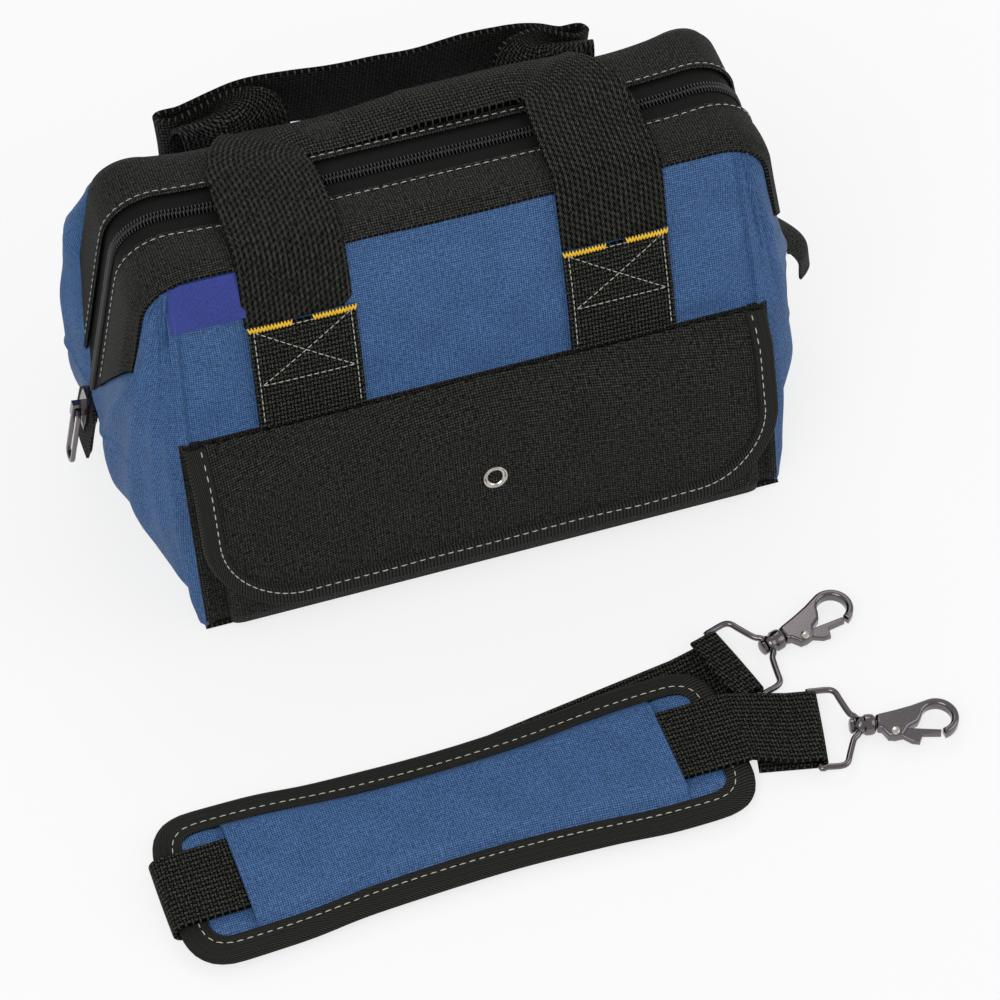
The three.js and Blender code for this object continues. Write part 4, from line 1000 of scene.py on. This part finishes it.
def addAnchor(side, name, end, endName):
    # The length of webbing that is sewn flat to the wall below a handle's leg.
    centre = end * handle["spacing"] + handle["shift"] * (side < 0)
    out = outOf(side, upperLean)

    def place(u, w, lift=2.2):
        x = centre + (u - 0.5) * handle["width"] * -side
        edge = abs(u - 0.5) * 2
        return upperFace(side, x, lerp(*handle["sewn"], w), 0.0) + out * (lift + 0.5 * (1 - edge ** 6))
    title = name + endName.title()
    bodies = bending("wall", side, name)
    strip = cloth(title + "Anchor", 30, 34, place, blackWebbing, 2.0)
    follow([strip], bodies, [f"{name}_{endName}_anchor"])
    corners = {"a": (0.05, 0.985), "b": (0.95, 0.985), "c": (0.93, 0.44), "d": (0.07, 0.44),
               "e": (0.95, 0.05), "f": (0.05, 0.05)}
    places = []
    for first, second in ("ac", "bd", "dc", "be", "af", "ab"):
        line = [[lerp(a, b, k / 24) for a, b in zip(corners[first], corners[second])] for k in range(25)]
        places += rowAlong([place(u, w, 2.55) for u, w in line], out, 3.2)
    sew(title + "AnchorStitches", stitchSample(2.6, 0.5), places, greyThread, bodies, slot="black_webbing")
    places = []
    count = 26
    for start, stop in ((0.0, 0.40), (0.60, 1.0)):
        for k in range(count):
            here = place(lerp(start, stop, (k + 0.5) / count), 1.012, 3.6)
            slant = 0.32 if k % 2 else -0.32
            places.append(frameAt(here, Vector((slant, 0, 1)) - out * out.z, out))
    sew(title + "BarTack", stitchSample(3.6, 0.95), places, yellowThread, bodies, slot="black_webbing")


# Label, rings and zip ends

label = {"left": -142.3, "right": -103.5, "low": 0.715, "high": 0.995}


def addLabel():
    def place(u, w):
        x = lerp(label["left"], label["right"], u)
        t = lerp(label["low"], label["high"], w)
        lift = 1.3 + 0.5 * sin(pi * u) * (1 - w) - 1.6 * (1 - ease(u / 0.07))
        return upperFace(-1, x, t, 0.2) + outOf(-1, upperLean) * lift
    patch = cloth("blankLabel", 24, 18, place, labelCloth, 0.7)
    follow([patch], "front_mouth", ["blank_label"])


def legFrame(end, along, out, y):
    # A point at an end of the zip: along is up the leg from its lower end, out is away from the bag.
    x = mouth["endSpan"] / 2 - along * sin(legLean) + out * cos(legLean)
    z = mouth["endHeight"] + along * cos(legLean) + out * sin(legLean)
    return Vector((end * x, y, z))


tail = {"left": {"top": 21.5, "drop": 15, "flare": 0.5, "bend": 10},
        "right": {"top": 44, "drop": 16, "flare": 19, "bend": 32}}


def addZipEnds():
    for end, name in ((-1, "left"), (1, "right")):
        facts = tail[name]

        def place(u, w):
            along = lerp(-facts["drop"], facts["top"], w)
            half = table([(0, 9.5), (0.3, 13), (0.7, 12.5), (1, 4)], w)
            y = lerp(-half, half, u) * end
            flare = facts["flare"] * ease((facts["bend"] - along) / 34)
            curl = 0.4 * flare * (2 * u - 1) ** 2
            return legFrame(end, along, -0.4 + flare - curl + 0.6 * sin(pi * w), y)
        flapEnd = cloth(name + "ZipTail", 20, 30, place, blackCloth, 1.4)
        follow([flapEnd], "bag", [name + "_zip_tail"])


ring = {"spread": 122, "tabWidth": 25, "tabTop": 104, "bar": 77, "wire": 3.6, "width": 34, "drop": 24,
        "out": 3.9}


def addRings():
    # A tab of webbing folded round each D-ring's bar and sewn to the rear wall.
    reach = ring["wire"] / 2 + 0.7
    out, bar, top = ring["out"], ring["bar"], ring["tabTop"]
    section = [(1.5, top), (1.5, 90), (out - reach, bar + 3)]
    section += [(out - reach * cos(pi * i / 8), bar - reach * sin(pi * i / 8)) for i in range(9)]
    section += [(out + reach, bar + 2), (3.4, bar + 12), (3.0, 96), (3.0, top)]
    at, length = pathOf([(0, *spot) for spot in section])
    half, drop = (ring["width"] - ring["wire"]) / 2, ring["drop"] - ring["wire"] / 2
    outline = [(half * cos(pi * i / 24), -drop * sin(pi * i / 24)) for i in range(25)]
    outline += [(-half + half * i / 8, 0) for i in range(1, 16)]
    for end, name in ((-1, "left"), (1, "right")):
        middle = end * ring["spread"]

        def place(u, w):
            point, run = at(w * length)
            x = middle + (0.5 - u) * ring["tabWidth"]
            return onLowerWall(1, x, point.y - run.z * 0.6, point.z + run.y * 0.6)
        tab = cloth(name + "RingTab", 16, 60, place, blackWebbing, 1.2, offset=0)
        follow([tab], "bag", [name + "_ring_tab"])
        places = []
        for height in (92, 95, 101):
            line = [onLowerWall(1, middle + x, 4.4, height) for x in (-10.5, 10.5)]
            places += rowAlong(line, outOf(1, lowerLean), 3.4)
        sew(name + "TabStitches", stitchSample(2.8, 0.6), places, greyThread, "bag", slot="black_webbing")
        points = [onLowerWall(1, middle + x, out, bar + y) for x, y in outline]
        loop = rod(name + "DRing", points, ring["wire"] / 2, gunmetal, bevelSteps=6, closed=True)
        follow([loop], name + "_d_ring", [name + "_d_ring"])


# Shoulder strap. Its pad has a group of its own: x along it and z up, turned a little on the floor.

pad = {"x": -64, "y": -238, "turn": 1.5, "length": 272, "end": 84, "waist": 73, "corner": 24, "thick": 7.6,
       "binding": 13, "lift": 2.3, "stitch": 9.0}
sleeve = {"length": 205, "hem": 3.5}
padTurn = radians(pad["turn"])
padAcross = Vector((-sin(padTurn), cos(padTurn), 0))


def onPad(x, y, z):
    across = x * cos(padTurn) - y * sin(padTurn)
    deep = x * sin(padTurn) + y * cos(padTurn)
    return Vector((pad["x"] + across, pad["y"] + deep, pad["lift"] + z))


def bezierAt(corners, t):
    # A point on the Bezier curve that these corners draw.
    while len(corners) > 1:
        corners = [[lerp(p, q, t) for p, q in zip(a, b)] for a, b in zip(corners, corners[1:])]
    return Vector((*corners[0], 0))


def padOutline(inset):
    # The waisted outline of the pad as a closed list of points, drawn in by an inset. Its second half is the
    # first one turned round.
    x = pad["length"] / 2 - inset
    end, waist = pad["end"] / 2 - inset, pad["waist"] / 2 - inset
    r = max(pad["corner"] - inset, 4)
    runs = [(8, (-x, -end + r), (-x, -end), (-x + r, -end)),
            (14, (-x + r, -end), (-x / 2, -end), (-x / 2, -waist), (0, -waist)),
            (14, (0, -waist), (x / 2, -waist), (x / 2, -end), (x - r, -end)),
            (8, (x - r, -end), (x, -end), (x, -end + r)),
            (8, (x, -end + r), (x, end - r))]
    points = []
    for turn in (1, -1):
        for steps, *corners in runs:
            corners = [(px * turn, py * turn) for px, py in corners]
            points += [bezierAt(corners, k / steps) for k in range(1, steps + 1)]
    return points


padSide = sorted([(p.x, p.y) for p in padOutline(10) if p.y > 0], key=lambda row: row[0])


def padHalf(x):
    # Half the width of the pad at x, less the 10 mm of its edge.
    return table(padSide, x, clamp)


def swell(piece, sewn, cap):
    # Fills the closed form like a stuffed pad: an even mesh, pressed from inside and held where it is sewn.
    pick([piece])
    modify(piece, "REMESH", mode="VOXEL", voxel_size=0.004)
    seam = piece.vertex_groups.new(name="sewn")
    seam.add([v.index for v in piece.data.vertices if sewn(v.co / mm)], 1.0, "REPLACE")
    before = [v.co.copy() for v in piece.data.vertices]
    press = piece.modifiers.new("press", "CLOTH")
    press.settings.use_pressure = True
    press.settings.uniform_pressure_force = 4
    press.settings.effector_weights.gravity = 0
    press.settings.vertex_group_mass = "sewn"
    frames = 20
    press.point_cache.frame_start = 1
    press.point_cache.frame_end = frames
    for number in range(1, frames + 1):
        bpy.context.scene.frame_set(number)
    bpy.ops.object.modifier_apply(modifier="press")
    for vertex, old in zip(piece.data.vertices, before):
        move = vertex.co - old
        vertex.co = old + move * min(1, cap * mm / max(move.length, 1e-9))
    bpy.context.scene.frame_set(1)
    modify(piece, "SUBSURF", levels=1, render_levels=1)


def inPad(p):
    # The place in the pad's own group of a point in the shared frame.
    x, y = p.x - pad["x"], p.y - pad["y"]
    along, across = x * cos(padTurn) + y * sin(padTurn), y * cos(padTurn) - x * sin(padTurn)
    return Vector((along, across, p.z - pad["lift"]))


def mapFlat(piece):
    # UVs in real metres from straight above, for a weave on a piece that the remesh has left without.
    layers = piece.data.uv_layers
    layer = layers[0] if layers else layers.new(name="flat")
    for loop, uv in zip(piece.data.loops, layer.data):
        p = inPad(piece.data.vertices[loop.vertex_index].co / mm)
        uv.uv = (p.x * mm, p.y * mm)


def sleeveTop(x, y):
    # The cover strip lies over the webbing and is tucked under the binding along both sides.
    return lerp(5.2, pad["thick"] + 4.1, ease((padHalf(x) - 1.0 - abs(y)) / 8.0))


def addPad():
    # The foam core under blue cloth: a closed form that is swelled, tucked into its binding and pressed flat
    # along its middle by the webbing.
    def boxy(v):
        return abs(v) ** 0.35 * (1 if v > 0 else -1)

    def section(u, w):
        x = lerp(-125.5, 125.5, u)
        a = 2 * pi * w
        return onPad(x * 1.02, (padHalf(x) + 3) * boxy(cos(a)), pad["thick"] / 2 + 2.8 * boxy(sin(a)))
    core = shaped(120, 60, section)
    weld(1e-5, filled=True)

    def fromEdge(p):
        return min(padHalf(p.x) + 10 - abs(p.y), pad["length"] / 2 - abs(p.x))
    swell(core, lambda p: fromEdge(inPad(p)) < 14, 4.0)
    for vertex in core.data.vertices:
        p = inPad(vertex.co / mm)
        pressed = ease((25 - abs(p.y)) / 4)
        freed = ease((fromEdge(p) - 12.0) / 5)
        high = lerp(4.9, lerp(8.6, pad["thick"] - 0.3, pressed), freed)
        if abs(p.x) < sleeve["length"] / 2 + 3:
            high = min(high, sleeveTop(p.x, p.y) - 1.5)
        p.z = clamp(p.z, lerp(2.7, lerp(-0.6, 0.4, pressed), freed), high)
        vertex.co = onPad(p.x, p.y, p.z) * mm
    mapFlat(core)
    finish(core, "shoulderPad", blueCloth)
    follow([core], "strap", ["shoulder_pad"])
    outer, inner = padOutline(0), padOutline(pad["binding"])
    count = len(outer)
    around = lengthsOf(outer + outer[:1])[-1]

    def bindingPlace(u, w):
        # Round the edge in section: from the top face's inner lip, round the outside, to the lower face.
        k = u * count
        i, t = int(k) % count, k - int(k)
        o = outer[i].lerp(outer[(i + 1) % count], t)
        n = inner[i].lerp(inner[(i + 1) % count], t)
        a = lerp(-0.5, 0.5, w) * pi
        share = table([(0, 1.0), (0.38, 0.12), (0.5, 0.0), (0.62, 0.12), (1, 1.0)], w)
        z = pad["thick"] / 2 + 2.9 * sin(clamp(a * 1.5, -pi / 2, pi / 2))
        p = o.lerp(n, share)
        return onPad(p.x, p.y, z + 0.25 * sin(u * around / 7))
    edge = cloth("padBinding", 260, 20, bindingPlace, bindingTape, 1.6)
    follow([edge], "strap", ["pad_binding"])
    points = [onPad(p.x, p.y, pad["thick"] / 2 + 3.2) for p in padOutline(pad["stitch"])]
    places = rowAlong(points + points[:1], Vector((0, 0, 1)), 4.6)
    sew("padStitches", stitchSample(3.4, 0.5), places, creamThread, "strap", slot="binding_tape")

    def sleevePlace(u, w):
        x = lerp(-sleeve["length"] / 2, sleeve["length"] / 2, u)
        half = padHalf(x)
        y = lerp(-half, half, w)
        end = sleeve["length"] / 2 - abs(x)
        seam = 0.5 * exp(-((end - sleeve["hem"] - 4) / 0.9) ** 2)
        inside = ease((half - 4 - abs(y)) / 6)
        wave = (0.35 * sin(x / 11.0 + y / 30) + rumple(x, y, 3, 24, 0.5)) * inside
        return onPad(x, y, sleeveTop(x, y) + wave - seam * inside)
    cover = cloth("padSleeve", 150, 40, sleevePlace, blueCloth, 1.0)
    follow([cover], "strap", ["pad_sleeve"])


hooks = {"upper": {"x": 84, "y": -197, "turn": 16}, "lower": {"x": 107, "y": -243, "turn": -12}}
strap = {"width": 38, "thick": 1.8, "plane": 5.6, "wire": 3}


def hookWrap(name, top, bottom):
    # Stations where the webbing goes round the hook's bar: place on the inner face, outward way, way across.
    facts = hooks[name]
    turn = radians(facts["turn"])
    along = Vector((cos(turn), sin(turn), 0))
    across = Vector((-sin(turn), cos(turn), 0))
    bar = Vector((facts["x"], facts["y"], strap["plane"]))
    inner = strap["wire"] / 2 + 0.5
    up = Vector((0, 0, 1))
    arc = []
    for i in range(9):
        a = pi / 2 - pi * i / 8
        out = along * cos(a) + up * sin(a)
        arc.append((bar + out * inner, out, across))

    def flat(back, way):
        return (bar - along * back + way * inner, way, across)
    return [flat(top, up), flat(4, up)] + arc + [flat(4, -up), flat(bottom, -up)]


def strapStations():
    foldX = 2.8 - pad["length"] / 2
    high = pad["thick"] + 0.3
    radius = (high + 0.3) / 2
    start, end = hookWrap("upper", 11, 11), hookWrap("lower", 11, 28)
    leave = start[-1]
    fold = onPad(foldX, 0, -0.3)
    rows = list(start)
    for t in (0.04, 0.2, 0.4, 0.6, 0.8, 1):
        p = leave[0].lerp(fold, t)
        p.z = fold.z
        rows.append((p, Vector((0, 0, -1)), leave[2].lerp(padAcross, t).normalized()))
    for i in range(1, 8):
        a = -pi / 2 - pi * i / 8
        out = Vector((cos(a) * cos(padTurn), cos(a) * sin(padTurn), sin(a)))
        rows.append((onPad(foldX + radius * cos(a), 0, radius - 0.3 + radius * sin(a)), out, padAcross))
    for x in (foldX, -90, -45, 0, 45, 90, pad["length"] / 2 + 1):
        rows.append((onPad(x, 0, high + (0.5 if abs(x) < 110 else 0)), Vector((0, 0, 1)), padAcross))
    return rows + end


def addStrap():
    rows = strapStations()
    longest = 5
    fine = []
    for k, (a, b) in enumerate(zip(rows, rows[1:])):
        steps = max(1, ceil((b[0] - a[0]).length / longest))
        fine += [(k, s / steps) for s in range(steps)]
    fine.append((len(rows) - 2, 1.0))

    def place(u, w):
        k, t = fine[round(u * (len(fine) - 1))]
        p, out, across = [a.lerp(b, t) for a, b in zip(rows[k], rows[k + 1])]
        lift = strap["thick"] + 0.2 * sin(pi * w)
        return p + across.normalized() * (w - 0.5) * strap["width"] + out.normalized() * lift
    ribbon = cloth("strapWebbing", len(fine) - 1, 12, place, blackWebbing, strap["thick"])
    follow([ribbon], "strap", ["strap_webbing"])


hook = {"reach": 21.3, "barrelAt": 19.0, "barrelEnd": 28.3, "start": 28.7, "tip": 67, "ring": 10.3,
        "ringWire": 3.4, "thick": 5.8, "gate": 3.2, "pivot": (36.5, -6.4)}
collarProfile = [
    (hook["barrelAt"], 2.5), (hook["barrelAt"], 3.6), (19.8, 4.4), (20.6, 4.6), (21.6, 4.2), (22.6, 4.2),
    (23.4, 4.9), (25.4, 5.0), (27.0, 4.8), (27.8, 4.2), (hook["barrelEnd"], 3.4), (hook["barrelEnd"], 2.5),
    (hook["barrelAt"], 2.5),
]
headProfile = [(16.2, 0), (16.2, 2.6), (16.7, 3.5), (18.0, 3.6), (18.6, 3.0), (18.6, 2.05), (29.6, 2.05),
               (29.6, 0)]
rivetProfile = [(-3.7, 0), (-3.7, 1.2), (-3.3, 2.0), (-2.8, 2.1), (2.8, 2.1), (3.3, 2.0), (3.7, 1.2),
                (3.7, 0)]


def hookPlace(name):
    # Local x points to the tip, y across the hook and z up, round the middle of the bar; in millimetres.
    facts = hooks[name]
    turn = Matrix.Rotation(radians(facts["turn"]), 4, "Z")
    return Matrix.Translation((facts["x"], facts["y"], strap["plane"])) @ turn


def jawOutline():
    # The hook's body: its stem with the gate's pivot, then the ring inside and back round outside.
    px, py = hook["pivot"]
    ringX, outer = hook["tip"] - hook["ring"], hook["ring"]
    inner = outer - hook["ringWire"]
    mouthTurn, inStart, outEnd = radians(-75), 2.9, 1.87
    body = [(hook["start"], -3.4), (hook["start"] + 2, -4.2), (px - 3.4, py - 2.2), (px, py - 2.6),
            (px + 3.4, py - 2.2), (px + 6.5, -4.2), (ringX - 9, -2)]
    for radius, first, last, steps in ((inner, inStart, mouthTurn, 22), (outer, mouthTurn, outEnd, 26)):
        turns = [lerp(first, last, i / steps) for i in range(steps + 1)]
        body += [(ringX + radius * cos(a), radius * sin(a)) for a in turns]
    return body + [(46, 7.4), (38, 5.6), (hook["start"] + 2, 4.3), (hook["start"], 3.6)]


def addHook(name):
    place = hookPlace(name)
    half = hook["reach"]
    bend = [(0, half), (0, half / 2), (0, 0), (0, -half / 2), (0, -half), (3, -half), (9.5, -half),
            (12.5, -half + 1.6), (14.2, -half + 6), (17.2, -7.5), (19.4, -5.2), (20.5, -3), (20.5, 0)]
    bend += [(x, -y) for x, y in reversed(bend[5:-1])]
    at, length = pathOf([(x, y, 0) for x, y in bend + bend[:1]])
    points = [place @ at(length * k / 120)[0] for k in range(120)]
    loop = rod(name + "HookLoop", points, strap["wire"] / 2, gunmetal, bevelSteps=6, closed=True)
    collar = turned(name + "HookCollar", collarProfile, gunmetal, place)
    follow([loop, collar], "strap", [name + "_hook_loop"])
    jaw = plateOf(name + "HookBody", jawOutline(), hook["thick"], 1.3, gunmetal, place)
    head = turned(name + "HookHead", headProfile, gunmetal, place, sides=28)
    follow([jaw, head], name + "_hook", [name + "_hook_body"])
    px, py = hook["pivot"]
    ringX = hook["tip"] - hook["ring"]
    lever = [(px - 2.6, py + 1.6), (px + 7.5, py + 1.6), (ringX + 1.1, -6.9), (ringX + 0.6, -9.4),
             (px + 12.5, -8.6), (px + 10.5, -12.8), (px + 7, -12), (px + 3, py - 2.4), (px - 2.6, py - 1.8)]
    gate = plateOf(name + "HookGate", lever, hook["gate"], 0.5, gunmetal, place)
    follow([gate], name + "_gate", [name + "_hook_gate"])
    upright = Matrix.Translation((px, py, 0)) @ Matrix.Rotation(-pi / 2, 4, "Y")
    rivet = turned(name + "HookRivet", rivetProfile, nickel, place @ upright, sides=24)
    follow([rivet], name + "_hook", [name + "_hook_rivet"])


def addFloor():
    # A pale paper sweep: near white to the camera and in reflections, with the shadow kept.
    bpy.ops.mesh.primitive_plane_add(size=12, location=(0, 0, 0))
    floor = bpy.context.object
    floor.name = "paperFloor"
    material, tree, shader = newMaterial("whitePaper")
    fill(tree, shader, {"Base Color": linear("#f2f2f2"), "Roughness": 0.9})
    path = add(tree, "ShaderNodeLightPath")
    seen = maths(tree, "MAXIMUM", path.outputs["Is Camera Ray"], path.outputs["Is Glossy Ray"])
    seen = maths(tree, "MAXIMUM", seen, path.outputs["Is Transmission Ray"])
    glow = add(tree, "ShaderNodeEmission", Color=(1, 1, 1, 1), Strength=1.0)
    share = maths(tree, "MULTIPLY", seen, 0.75)
    mix = add(tree, "ShaderNodeMixShader", i0=share, i1=shader.outputs[0], i2=glow.outputs[0])
    output = [n for n in tree.nodes if n.type == "OUTPUT_MATERIAL"][0]
    tree.links.new(mix.outputs[0], output.inputs["Surface"])
    floor.data.materials.append(material)


def addWorld():
    world = bpy.data.worlds.new("studio")
    bpy.context.scene.world = world
    world.use_nodes = True
    background = world.node_tree.nodes["Background"]
    background.inputs["Color"].default_value = (1, 1, 1, 1)
    background.inputs["Strength"].default_value = 0.55


bpy.ops.object.select_all(action="DESELECT")
addCamera()
addLamps()
addFloor()
addWorld()
bpy.context.scene.view_settings.view_transform = "Standard"
print("camera, lights and floor made")
addWalls()
print("walls made")
addMouth()
print("mouth and zip made")
addPocket()
addFlap()
addEyelet()
print("pocket and flap made")
addHandles()
addLabel()
addZipEnds()
addRings()
print("handles, label and zip ends made")
addPad()
addStrap()
addHook("upper")
addHook("lower")
print("strap made")
